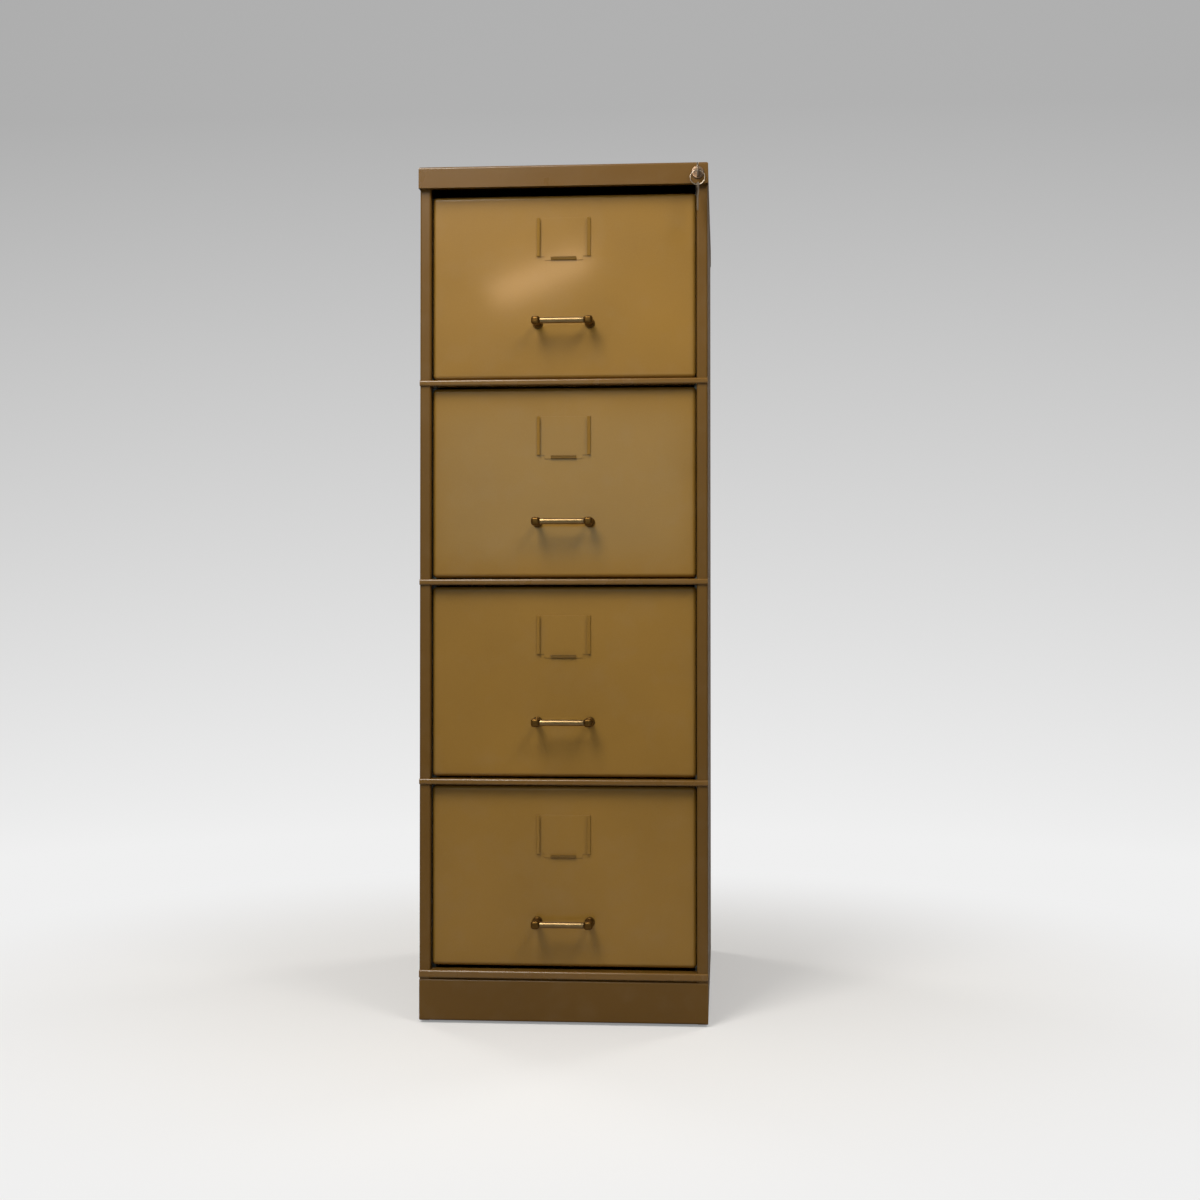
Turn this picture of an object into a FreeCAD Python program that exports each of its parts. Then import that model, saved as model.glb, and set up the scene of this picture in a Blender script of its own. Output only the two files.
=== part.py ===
import FreeCAD, Part

import math
import os
import re

import Sketcher

# A four-drawer vertical filing cabinet of folded steel sheet. Millimetres, +Z up, drawers open towards -Y,
# +X to the right of a person facing the drawers. The origin lies on the floor under the middle of the
# whole outline, from the tip of the key to the back. Inside the model, Y is counted from the face of the
# fascia backwards, and every piece is placed from there.

doc = FreeCAD.newDocument("FilingCabinet")
sheet = doc.addObject("Spreadsheet::Sheet", "Sizes")

SIZES = {
    # carcass
    "cabinet_width": 450,
    "cabinet_height": 1330,
    "cabinet_depth": 620,
    "carcass_wall": 1.0,
    "seat_gap": 0.2,
    "fascia_height": 33,
    "fascia_stand_out": 10,
    "cap_bend": 2.5,
    "stile_width": 17,
    "stile_lip": 12,
    "stile_bend": 2,
    "rear_flange": 15,
    "back_flange": 12,
    "back_rib_width": 26,
    "back_rib_height": 1.4,
    "back_rib_margin": 120,
    "back_rib_spacing": 105,
    "base_flange": 32,
    "base_flange_start": 38,
    "base_flange_setback": 6,
    "pan_level": 62,
    "pan_flange": 18,
    "plinth_level": 68,
    "plinth_return": 24,
    "upright_start": 44,
    "upright_depth": 30,
    "upright_flange": 14,
    "upright_stand": 20,
    "upright_head_gap": 6,
    # rails between the drawers
    "rail_gap": 18,
    "rail_height": 9,
    "rail_depth": 25,
    "rail_nose": 3.5,
    "rail_bend": 1.8,
    "bottom_rail_level": 70,
    "bottom_rail_height": 12,
    # feet
    "foot_height": 4,
    "foot_radius": 15,
    "foot_inset": 17,
    "foot_front": 56,
    "foot_rear_room": 46,
    # drawer grid and fronts
    "first_drawer_level": 73,
    "top_gap": 11,
    "top_front_trim": 9,
    "bottom_front_trim": 19,
    "front_gap": 2.5,
    "front_recess": 22,
    "front_depth": 16,
    "front_wall": 1.0,
    "front_bend": 5.5,
    "liner_wall": 0.9,
    # trays
    "tray_rear_room": 30,
    "tray_rise": 24,
    "tray_head_room": 54,
    "tray_wall": 0.9,
    "tray_rim": 10,
    "tray_rim_lip": 5,
    "tray_back_drop": 14,
    # slides
    "slide_thickness": 13,
    "slide_height": 46,
    "slide_wall": 1.2,
    "slide_lip": 1.4,
    "slide_play": 0.4,
    "slide_start": 46,
    "slide_rear_room": 34,
    "slide_rise": 84,
    # handles
    "handle_rise": 84,
    "handle_length": 90,
    "handle_reach": 31,
    "bar_radius": 4.75,
    "head_height": 13,
    "head_width": 11,
    "post_foot_radius": 8,
    "post_foot_height": 2,
    "post_radius": 5,
    "pin_play": 0.05,
    "screw_radius": 2.5,
    "screw_head_radius": 4.6,
    "screw_head_height": 3.5,
    "screw_bite": 16,
    "screw_slot": 8,
    "screw_window": 16,
    # card holders
    "card_drop": 43,
    "card_width": 84,
    "card_height": 66,
    "card_wall": 0.8,
    "card_depth": 3.2,
    "card_lip": 5,
    "card_relief": 12,
    # lock
    "lock_inset": 16,
    "lock_flange_radius": 9.5,
    "lock_flange_height": 2.5,
    "lock_barrel_radius": 8,
    "lock_barrel_length": 24,
    "lock_hole_slack": 0.15,
    "plug_radius": 5.45,
    "tail_width": 5.5,
    "tail_length": 5,
    "cam_wall": 2,
    "cam_hub_width": 9,
    "cam_radius": 9,
    "cam_tip_radius": 2.5,
    "cam_arm_width": 3.2,
    "cam_stand_off": 1,
    "lock_bar_width": 14,
    "lock_bar_wall": 2,
    "lock_bar_front": 50,
    "lock_bar_slack": 0.4,
    "dog_drop": 67,
    "dog_height": 12,
    "dog_reach": 9.5,
    "catch_drop": 52,
    "catch_height": 12,
    "catch_reach": 10,
    "catch_gap": 1.2,
    "guide_drop": 21,
    "guide_height": 16,
    "guide_flange": 3,
    # keys
    "key_wall": 2.2,
    "key_bow_radius": 10.5,
    "key_hole_radius": 3.2,
    "key_hole_inset": 5.5,
    "key_stand_off": 20,
    "key_shoulder_overlap": 2,
    "key_cut_start": 7.2,
    "key_cut_pitch": 3.6,
    "key_cut_half_width": 1.44,
    "key_cut_overrun": 0.1,
    "blade_length": 24,
    "blade_height": 6.4,
    "keyway_slack": 0.1,
    "ring_radius": 11,
    "ring_wire": 1.6,
    "ring_slack": 0.15,
    "spare_key_turn": 8,
}

for row, (alias, number) in enumerate(SIZES.items(), start=1):
    sheet.set(f"A{row}", alias)
    sheet.set(f"B{row}", str(number))
    sheet.setAlias(f"B{row}", alias)
doc.recompute()

DRAWERS = (1, 2, 3, 4)
RIGHT = 1
LEFT = -1
SIDES = (("left", LEFT), ("right", RIGHT))
FINDING_DISTANCE = 0.001
KEY_CUT_DEPTHS = (0.3, 0.2, 0.35, 0.25)  # shares of the blade's height, from the bow to the tip
OCTAGON_HALF_ANGLE = 22.5

# places that several pieces share, as formulas in the sizes above
KEYS_REACH = "(key_stand_off + key_bow_radius * cos(spare_key_turn) + key_wall / 2 * sin(spare_key_turn))"
FRONT = f"({KEYS_REACH} - cabinet_depth) / 2"
SIDE_OUTER = "(cabinet_width / 2 - carcass_wall)"
SIDE_INNER = "(cabinet_width / 2 - 2 * carcass_wall)"
CAP_UNDERSIDE = "(cabinet_height - fascia_height)"
PANEL_TOP = "(cabinet_height - carcass_wall - cap_bend)"
TOP_FRONT_EDGE = f"({CAP_UNDERSIDE} - top_gap + top_front_trim)"
DRAWER_PITCH = f"(({TOP_FRONT_EDGE} + rail_gap - first_drawer_level) / {len(DRAWERS)})"
FRONT_HEIGHT = f"({DRAWER_PITCH} - rail_gap)"
FRONT_HALF = f"({SIDE_OUTER} - stile_width - front_gap)"
LINER_BACK = "(front_recess + front_depth)"
LINER_DEPTH = "(front_depth - front_wall - front_bend - seat_gap)"
UPRIGHT_FACE = f"({SIDE_INNER} - upright_stand)"
TRAY_HALF = f"({UPRIGHT_FACE} - slide_thickness)"
TRAY_TOP = f"({DRAWER_PITCH} - tray_head_room)"
TRAY_LENGTH = f"(cabinet_depth - {LINER_BACK} - tray_rear_room)"
SLIDE_LENGTH = "(cabinet_depth - slide_start - slide_rear_room)"
CARD_RISE = f"({FRONT_HEIGHT} - card_drop - card_height)"
LOCK_X = "(cabinet_width / 2 - lock_inset)"
LOCK_LEVEL = "(cabinet_height - fascia_height / 2)"
LOCK_BAR_X = f"({UPRIGHT_FACE} + carcass_wall + lock_bar_slack)"
LOCK_BAR_OUTER = f"({LOCK_BAR_X} + lock_bar_wall)"
LOCK_BAR_REAR = "(lock_bar_front + lock_bar_width)"
LOCK_BAR_SHELF = f"({LOCK_LEVEL} - cam_radius / sqrt(2) + cam_tip_radius + lock_bar_slack)"
DOG_RISE = f"({TRAY_TOP} - dog_drop)"
CATCH_FRONT = f"({LOCK_BAR_REAR} + catch_gap)"
CAM_FRONT = "(lock_barrel_length + cam_stand_off)"
CAM_STEP = "(cam_radius / sqrt(2))"
LOCK_LIFT = "(cam_radius * sqrt(2))"

pieces = []


def level(drawer):
    """Formula for the lower edge of a drawer's place in the grid; drawer 1 is the top one."""
    return f"(first_drawer_level + {len(DRAWERS) - drawer} * {DRAWER_PITCH})"


def size(formula):
    """The value of a formula in the sizes."""
    return float(sheet.evalExpression(formula))


def bind(target, name, formula):
    """Ties a property to a formula in the sizes."""
    linked = re.sub(r"[a-z_]{3,}", lambda word: "Sizes." + word[0] if word[0] in SIZES else word[0], formula)
    target.setExpression(name, linked)


def place(target, x="0", y=FRONT, z="0"):
    for axis, formula in (("x", x), ("y", y), ("z", z)):
        bind(target, f"Placement.Base.{axis}", formula)
    return target


def new_body(label, x="0", y=FRONT, z="0"):
    body = doc.addObject("PartDesign::Body", label)
    body.Label = label
    return place(body, x, y, z)


def new_sketch(body, role, offset="0"):
    """A sketch on one of the body's own planes, moved along +Z, +Y or +X by the offset."""
    sketch = body.newObject("Sketcher::SketchObject", f"{body.Label}_sketch")
    plane = next(feature for feature in body.Origin.OriginFeatures if feature.Role == role)
    sketch.AttachmentSupport = [(plane, "")]
    sketch.MapMode = "FlatFace"
    towards = "-1 * " if role == "XZ_Plane" else ""
    bind(sketch, "AttachmentOffset.Base.z", f"{towards}({offset})")
    return sketch


def tie(sketch, kind, *where, formula):
    index = sketch.addConstraint(Sketcher.Constraint(kind, *where, size(formula)))
    bind(sketch, f"Constraints[{index}]", formula)


def draw_outline(sketch, corners):
    """Closes an outline of straight lines through corners given as pairs of formulas."""
    spots = [FreeCAD.Vector(size(u), size(v), 0) for u, v in corners]
    first = len(sketch.Geometry)
    count = len(spots)
    for index in range(count):
        sketch.addGeometry(Part.LineSegment(spots[index], spots[(index + 1) % count]), False)
    for index in range(count):
        line = first + index
        following = first + (index + 1) % count
        sketch.addConstraint(Sketcher.Constraint("Coincident", line, 2, following, 1))
        tie(sketch, "DistanceX", -1, 1, line, 1, formula=corners[index][0])
        tie(sketch, "DistanceY", -1, 1, line, 1, formula=corners[index][1])


def draw_rectangle(sketch, u_low, v_low, u_high, v_high):
    draw_outline(sketch, [(u_low, v_low), (u_high, v_low), (u_high, v_high), (u_low, v_high)])


def draw_square(sketch, width):
    """A square round the body's own axis."""
    draw_rectangle(sketch, f"-1 * ({width}) / 2", f"-1 * ({width}) / 2", f"({width}) / 2", f"({width}) / 2")


def draw_circle(sketch, u, v, radius):
    centre = FreeCAD.Vector(size(u), size(v), 0)
    circle = sketch.addGeometry(Part.Circle(centre, FreeCAD.Vector(0, 0, 1), size(radius)), False)
    tie(sketch, "Radius", circle, formula=radius)
    tie(sketch, "DistanceX", -1, 1, circle, 3, formula=u)
    tie(sketch, "DistanceY", -1, 1, circle, 3, formula=v)


def settle(feature):
    """Computes a new feature and stops the build if it fails."""
    doc.recompute()
    if "Invalid" in feature.State or feature.Shape.isNull():
        raise RuntimeError(f"{feature.Name} failed: {feature.getStatusString()}")
    return feature


def draw_hexagon(sketch, radius):
    corners = [(f"{radius} * cos({angle})", f"{radius} * sin({angle})") for angle in range(0, 360, 60)]
    draw_outline(sketch, corners)


def pad(body, sketch, length):
    """Pads a sketch towards +Z, +Y or +X."""
    feature = body.newObject("PartDesign::Pad", f"{body.Label}_pad")
    feature.Profile = sketch
    feature.Reversed = sketch.AttachmentSupport[0][0].Role == "XZ_Plane"
    bind(feature, "Length", length)
    return settle(feature)


def pocket(body, sketch, length):
    """Cuts a sketch towards +Z, +Y or +X, and makes sure that the cut takes material away."""
    before = body.Shape.Volume
    feature = body.newObject("PartDesign::Pocket", f"{body.Label}_pocket")
    feature.Profile = sketch
    feature.Reversed = sketch.AttachmentSupport[0][0].Role != "XZ_Plane"
    bind(feature, "Length", length)
    settle(feature)
    if body.Shape.Volume >= before:
        raise RuntimeError(f"a pocket in {body.Label} cuts nothing")
    return feature


def revolve(body, sketch):
    """Turns a profile drawn in the XY plane round the Y axis."""
    feature = body.newObject("PartDesign::Revolution", f"{body.Label}_revolution")
    feature.Profile = sketch
    feature.ReferenceAxis = (sketch, ["V_Axis"])
    feature.Angle = 360
    return settle(feature)


def edges_near(feature, spots):
    names = []
    for index, edge in enumerate(feature.Shape.Edges, start=1):
        if any(edge.distToShape(Part.Vertex(spot))[0] < FINDING_DISTANCE for spot in spots):
            names.append(f"Edge{index}")
    return names


def round_edges(body, spots, radius):
    """Fillets the edges of the body's last feature that pass through the spots."""
    base = body.Tip
    feature = body.newObject("PartDesign::Fillet", f"{body.Label}_fillet")
    feature.Base = (base, edges_near(base, spots))
    bind(feature, "Radius", radius)
    return settle(feature)


def hollow(body, spot, wall):
    """Shells the body inwards and leaves the face at the spot open."""
    base = body.Tip
    faces = [
        f"Face{index}"
        for index, face in enumerate(base.Shape.Faces, start=1)
        if face.distToShape(Part.Vertex(spot))[0] < FINDING_DISTANCE
    ]
    feature = body.newObject("PartDesign::Thickness", f"{body.Label}_shell")
    feature.Base = (base, faces)
    feature.Reversed = True
    feature.Join = 1
    bind(feature, "Value", wall)
    return settle(feature)


def in_space(role, u, v, along):
    if role == "XY_Plane":
        return FreeCAD.Vector(u, v, along)
    if role == "XZ_Plane":
        return FreeCAD.Vector(u, along, v)
    return FreeCAD.Vector(along, u, v)


def mirrored(path, side):
    """The path as it is for the right side, or with X turned round for the left side."""
    return path if side == RIGHT else [(f"-1 * ({u})", v) for u, v in path]


def fold(body, role, path, wall, hand, start, length, bend=None, turns=None):
    """Pads a sheet folded along a path of right-angled turns.

    The sheet lies to the left of the path where hand is 1, and to its right where hand is -1. Each turn named
    by its place in the path gets the bend's radius inside and that radius plus the wall outside.
    """
    spots = [FreeCAD.Vector(size(u), size(v), 0) for u, v in path]
    runs = [(spots[i + 1] - spots[i]).normalize() for i in range(len(spots) - 1)]
    across = [FreeCAD.Vector(-run.y * hand, run.x * hand, 0) for run in runs]
    inner = []
    for index, (u, v) in enumerate(path):
        shift = across[max(index - 1, 0)]
        if 0 < index < len(path) - 1:
            shift = shift + across[index]
        inner.append((f"{u} + {round(shift.x)} * {wall}", f"{v} + {round(shift.y)} * {wall}"))
    sketch = new_sketch(body, role, start)
    draw_outline(sketch, path + inner[::-1])
    feature = pad(body, sketch, length)
    if bend is None:
        return feature
    middle = size(start) + size(length) / 2
    tight = []
    wide = []
    for index in turns or range(1, len(path) - 1):
        turn = runs[index - 1].cross(runs[index]).z * hand
        on_path = in_space(role, size(path[index][0]), size(path[index][1]), middle)
        on_inner = in_space(role, size(inner[index][0]), size(inner[index][1]), middle)
        tight.append(on_inner if turn > 0 else on_path)
        wide.append(on_path if turn > 0 else on_inner)
    round_edges(body, tight, bend)
    return round_edges(body, wide, f"{bend} + {wall}")


def keep(label, shape_object):
    """Adds an object to the pieces that are written out."""
    shape_object.Label = label
    pieces.append(shape_object)
    return shape_object


def placed(label, sources, x="0", y="0", z="0"):
    """One or more solids moved together to a place."""
    group = doc.addObject("Part::Compound", label)
    group.Links = sources
    return place(group, x, y, z)


def mirror_image(source):
    """The same solid on the other side of the cabinet's middle plane."""
    image = doc.addObject("Part::Mirroring", f"{source.Name}_mirrored")
    image.Source = source
    image.Normal = FreeCAD.Vector(1, 0, 0)
    return image


def add_top_cap():
    """Pressed lid whose front wall is the fascia, with a return at its lower edge."""
    body = new_body("top_cap")
    sketch = new_sketch(body, "XY_Plane", CAP_UNDERSIDE)
    draw_rectangle(sketch, "-1 * cabinet_width / 2", "0", "cabinet_width / 2", "cabinet_depth")
    pad(body, sketch, "fascia_height")
    half = size("cabinet_width / 2")
    deep = size("cabinet_depth")
    top = size("cabinet_height")
    hollow(body, FreeCAD.Vector(0, deep / 2, size(CAP_UNDERSIDE)), "carcass_wall")
    for inset, radius in ((size("carcass_wall"), "cap_bend"), (0, "cap_bend + carcass_wall")):
        rim = [FreeCAD.Vector(0, y, top - inset) for y in (inset, deep - inset)]
        rim += [FreeCAD.Vector(x, deep / 2, top - inset) for x in (inset - half, half - inset)]
        round_edges(body, rim, radius)
    sketch = new_sketch(body, "XY_Plane", CAP_UNDERSIDE)
    reach = f"({SIDE_OUTER} - cap_bend)"
    draw_rectangle(sketch, f"-1 * {reach}", "carcass_wall / 2", reach, "fascia_stand_out")
    pad(body, sketch, "carcass_wall")
    sketch = new_sketch(body, "XZ_Plane", "-1 * carcass_wall")
    draw_circle(sketch, LOCK_X, LOCK_LEVEL, "lock_barrel_radius + lock_hole_slack")
    pocket(body, sketch, "3 * carcass_wall")
    keep("top_cap", body)


def add_side_panel(label, side):
    """Side wall with the stile as its front flange, a rear flange and a bottom flange over two feet."""
    body = new_body(label)
    path = [
        (f"{SIDE_OUTER} - stile_width", "fascia_stand_out + stile_lip"),
        (f"{SIDE_OUTER} - stile_width", "fascia_stand_out"),
        (SIDE_OUTER, "fascia_stand_out"),
        (SIDE_OUTER, "cabinet_depth - carcass_wall"),
        (f"{SIDE_OUTER} - rear_flange", "cabinet_depth - carcass_wall"),
    ]
    path = mirrored(path, side)
    height = f"{PANEL_TOP} - foot_height"
    fold(body, "XY_Plane", path, "carcass_wall", side, "foot_height", height, "stile_bend", (1, 2))
    sketch = new_sketch(body, "XY_Plane", "foot_height")
    draw_outline(
        sketch,
        mirrored(
            [
                (f"{SIDE_OUTER} - base_flange", "base_flange_start"),
                (SIDE_INNER, "base_flange_start"),
                (SIDE_INNER, "cabinet_depth - base_flange_setback"),
                (f"{SIDE_OUTER} - base_flange", "cabinet_depth - base_flange_setback"),
            ],
            side,
        ),
    )
    pad(body, sketch, "carcass_wall")
    if side == RIGHT:
        notch_level = f"({LOCK_LEVEL} - lock_barrel_radius - 3 * carcass_wall)"
        sketch = new_sketch(body, "XY_Plane", notch_level)
        draw_rectangle(
            sketch,
            f"{SIDE_OUTER} - stile_width - carcass_wall",
            "fascia_stand_out - carcass_wall",
            f"{LOCK_X} + lock_barrel_radius + carcass_wall",
            "fascia_stand_out + stile_lip + carcass_wall",
        )
        pocket(body, sketch, f"cabinet_height - {notch_level}")
    keep(label, body)


def add_back_panel():
    """Back sheet inside the rear flanges, with forward flanges and three pressed ribs."""
    body = new_body("back_panel")
    half = f"({SIDE_INNER} - seat_gap)"
    face = "(cabinet_depth - 2 * carcass_wall)"
    path = [
        (half, f"{face} - back_flange"),
        (half, face),
        (f"-1 * {half}", face),
        (f"-1 * {half}", f"{face} - back_flange"),
    ]
    bottom = "(foot_height + 2 * carcass_wall)"
    fold(body, "XY_Plane", path, "carcass_wall", 1, bottom, f"{PANEL_TOP} - {bottom}")
    low = f"({bottom} + back_rib_margin)"
    high = f"({CAP_UNDERSIDE} - back_rib_margin)"
    for spread, start, action in (
        ("back_rib_width / 2", face, pad),
        ("back_rib_width / 2 - carcass_wall", f"{face} - carcass_wall", pocket),
    ):
        sketch = new_sketch(body, "XZ_Plane", start)
        for rib in (-1, 0, 1):
            centre = f"{rib} * back_rib_spacing"
            inset = "0" if action == pad else "carcass_wall"
            draw_rectangle(
                sketch,
                f"{centre} - ({spread})",
                f"{low} + {inset}",
                f"{centre} + ({spread})",
                f"{high} - {inset}",
            )
        action(body, sketch, "back_rib_height")
    keep("back_panel", body)


def add_floor_pan():
    """Floor sheet under the lowest drawer, with downward flanges spot-welded to the sides."""
    body = new_body("floor_pan")
    half = f"({SIDE_INNER} - seat_gap)"
    path = [
        (f"-1 * {half}", "pan_level - pan_flange"),
        (f"-1 * {half}", "pan_level"),
        (half, "pan_level"),
        (half, "pan_level - pan_flange"),
    ]
    start = "(fascia_stand_out + stile_lip + carcass_wall)"
    end = "(cabinet_depth - 3 * carcass_wall - back_flange)"
    fold(body, "XZ_Plane", path, "carcass_wall", -1, start, f"{end} - {start}")
    keep("floor_pan", body)


def cut_ends(body, low, height):
    """Cuts a lapping front piece's returns away where the stiles stand behind it."""
    for side in (RIGHT, LEFT):
        sketch = new_sketch(body, "XY_Plane", low)
        inner_edge = f"({SIDE_OUTER} - stile_width - seat_gap)"
        path = [
            (inner_edge, "fascia_stand_out"),
            (f"{SIDE_OUTER} + carcass_wall", "fascia_stand_out"),
            (f"{SIDE_OUTER} + carcass_wall", "fascia_stand_out + rail_depth + plinth_return"),
            (inner_edge, "fascia_stand_out + rail_depth + plinth_return"),
        ]
        draw_outline(sketch, mirrored(path, side))
        pocket(body, sketch, height)


def add_plinth():
    """Kick plate that laps the lower ends of both stiles."""
    body = new_body("plinth")
    face = "(fascia_stand_out - carcass_wall)"
    path = [
        (f"{face} + plinth_return", "foot_height"),
        (face, "foot_height"),
        (face, "plinth_level"),
        (f"{face} + plinth_return", "plinth_level"),
    ]
    fold(body, "YZ_Plane", path, "carcass_wall", -1, f"-1 * {SIDE_OUTER}", f"2 * {SIDE_OUTER}", "stile_bend")
    cut_ends(body, "0", "plinth_level + carcass_wall")
    keep("plinth", body)


def make_rail(name, low, height, base="0"):
    """Channel across the front with a rounded nose that laps the stiles."""
    body = new_body(name, z=base)
    nose = "(fascia_stand_out - rail_nose)"
    path = [
        (f"{nose} + rail_depth", f"{low} + {height}"),
        (nose, f"{low} + {height}"),
        (nose, low),
        (f"{nose} + rail_depth", low),
    ]
    fold(body, "YZ_Plane", path, "carcass_wall", 1, f"-1 * {SIDE_OUTER}", f"2 * {SIDE_OUTER}", "rail_bend")
    cut_ends(body, f"{low} - carcass_wall", f"{height} + 2 * carcass_wall")
    return body


def add_rails():
    """One rail in each gap between two drawers, and a taller one below the lowest."""
    low = "(-1 * rail_gap / 2 - rail_height / 2)"
    rails = [make_rail(f"rail_{drawer}", low, "rail_height", level(drawer)) for drawer in DRAWERS[:-1]]
    rails.append(make_rail("bottom_rail", "bottom_rail_level", "bottom_rail_height"))
    keep("cross_rails", placed("cross_rails", rails))


def make_upright(name, side, start):
    """Hat-shaped channel on the side panel that carries the drawers' slides."""
    body = new_body(name)
    wall_side = f"({SIDE_INNER} - carcass_wall)"
    rear = f"({start} + upright_depth)"
    path = [
        (wall_side, f"{rear} + upright_flange"),
        (wall_side, rear),
        (UPRIGHT_FACE, rear),
        (UPRIGHT_FACE, start),
        (wall_side, start),
        (wall_side, f"{start} - upright_flange"),
    ]
    height = f"{CAP_UNDERSIDE} - upright_head_gap - pan_level"
    fold(body, "XY_Plane", mirrored(path, side), "carcass_wall", side, "pan_level", height)
    return body


def add_uprights():
    """Two pairs of uprights; the front right one has a slot for each dog of the lock bar."""
    front = [make_upright(f"front_{name}", side, "upright_start") for name, side in SIDES]
    slotted = front[-1]
    sketch = new_sketch(slotted, "YZ_Plane", f"{UPRIGHT_FACE} - carcass_wall")
    draw_rectangle(
        sketch,
        f"{LOCK_BAR_REAR} - 2 * lock_bar_wall",
        f"{level(4)} + {DOG_RISE} - lock_bar_wall",
        f"{LOCK_BAR_REAR} + lock_bar_wall",
        f"{level(4)} + {DOG_RISE} + dog_height + {LOCK_LIFT} + lock_bar_wall",
    )
    slot = pocket(slotted, sketch, "3 * carcass_wall")
    pattern = slotted.newObject("PartDesign::LinearPattern", "dog_slots")
    pattern.Originals = [slot]
    pattern.Direction = (sketch, ["V_Axis"])
    bind(pattern, "Length", f"{len(DRAWERS) - 1} * {DRAWER_PITCH}")
    pattern.Occurrences = len(DRAWERS)
    slotted.Tip = pattern
    settle(pattern)
    keep("front_uprights", placed("front_uprights", front))

    start = f"(slide_start + {SLIDE_LENGTH} - upright_depth)"
    rear = [make_upright(f"rear_{name}", side, start) for name, side in SIDES]
    keep("rear_uprights", placed("rear_uprights", rear))


def add_feet():
    """Low hexagonal levelling feet under the side walls' bottom flanges."""
    feet = []
    for name, spot in (("foot_front", "foot_front"), ("foot_rear", "cabinet_depth - foot_rear_room")):
        body = new_body(name, x=f"{SIDE_OUTER} - foot_inset", y=spot)
        sketch = new_sketch(body, "XY_Plane")
        draw_hexagon(sketch, "foot_radius")
        pad(body, sketch, "foot_height")
        feet += [body, mirror_image(body)]
    keep("levelling_feet", placed("levelling_feet", feet, y=FRONT))


def add_front(drawer):
    """Folded drawer front with rounded edges, and the liner pan nested in its back."""
    low = "bottom_front_trim" if drawer == DRAWERS[-1] else "0"
    high = f"{FRONT_HEIGHT} - top_front_trim" if drawer == DRAWERS[0] else FRONT_HEIGHT
    label = f"front_panel_{drawer}"
    body = new_body(label, z=level(drawer))
    sketch = new_sketch(body, "XZ_Plane", "front_recess")
    draw_rectangle(sketch, f"-1 * {FRONT_HALF}", low, FRONT_HALF, high)
    pad(body, sketch, "front_depth")
    middle_z = size(f"({low} + {high}) / 2")
    hollow(body, FreeCAD.Vector(0, size(LINER_BACK), middle_z), "front_wall")
    for inset, radius in ((size("front_wall"), "front_bend"), (0, "front_bend + front_wall")):
        face_y = size("front_recess") + inset
        rim = [FreeCAD.Vector(side * (size(FRONT_HALF) - inset), face_y, middle_z) for side in (LEFT, RIGHT)]
        rim += [FreeCAD.Vector(0, face_y, size(low) + inset), FreeCAD.Vector(0, face_y, size(high) - inset)]
        round_edges(body, rim, radius)
    cut_windows(body, "front_recess - front_wall", "screw_slot", "2 * (screw_radius + pin_play)")
    keep(label, body)

    label = f"front_liner_{drawer}"
    body = new_body(label, z=level(drawer))
    liner_rim = f"({LINER_BACK} - {LINER_DEPTH})"
    sketch = new_sketch(body, "XZ_Plane", liner_rim)
    inset = "(front_wall + seat_gap)"
    half = f"({FRONT_HALF} - {inset})"
    draw_rectangle(sketch, f"-1 * {half}", f"{low} + {inset}", half, f"{high} - {inset}")
    pad(body, sketch, LINER_DEPTH)
    hollow(body, FreeCAD.Vector(0, size(liner_rim), middle_z), "liner_wall")
    cut_windows(body, f"{LINER_BACK} - 2 * liner_wall", "screw_window", "screw_window")
    keep(label, body)


def cut_windows(body, start, width, height):
    """Cuts an upright-sided hole through one sheet behind each handle post."""
    sketch = new_sketch(body, "XZ_Plane", start)
    for side in (LEFT, RIGHT):
        centre = f"{side} * (handle_length - head_width) / 2"
        draw_rectangle(
            sketch,
            f"{centre} - {width} / 2",
            f"handle_rise - {height} / 2",
            f"{centre} + {width} / 2",
            f"handle_rise + {height} / 2",
        )
    pocket(body, sketch, "3 * front_wall")


def make_tray():
    """Folded drawer body: floor and sides in one sheet with rolled rims, and a lower back."""
    body = new_body("tray", y="0")
    rim = f"({TRAY_HALF} - tray_rim)"
    low = "tray_rise"
    path = [
        (f"-1 * {rim}", f"{TRAY_TOP} - tray_rim_lip"),
        (f"-1 * {rim}", TRAY_TOP),
        (f"-1 * {TRAY_HALF}", TRAY_TOP),
        (f"-1 * {TRAY_HALF}", low),
        (TRAY_HALF, low),
        (TRAY_HALF, TRAY_TOP),
        (rim, TRAY_TOP),
        (rim, f"{TRAY_TOP} - tray_rim_lip"),
    ]
    fold(body, "XZ_Plane", path, "tray_wall", 1, LINER_BACK, TRAY_LENGTH)
    inner = f"({TRAY_HALF} - tray_wall)"
    sketch = new_sketch(body, "XZ_Plane", f"{LINER_BACK} + {TRAY_LENGTH} - tray_wall")
    draw_rectangle(sketch, f"-1 * {inner}", f"{low} + tray_wall", inner, f"{TRAY_TOP} - tray_back_drop")
    pad(body, sketch, "tray_wall")
    return body


def make_catch():
    """Angle spot-welded to the tray's right side; the lock bar's dog rises in front of it."""
    body = new_body("catch", y="0")
    path = [
        (f"{TRAY_HALF} + catch_reach", CATCH_FRONT),
        (TRAY_HALF, CATCH_FRONT),
        (TRAY_HALF, f"{CATCH_FRONT} + catch_reach"),
    ]
    fold(body, "XY_Plane", path, "tray_wall", -1, f"{TRAY_TOP} - catch_drop", "catch_height")
    return body


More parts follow.
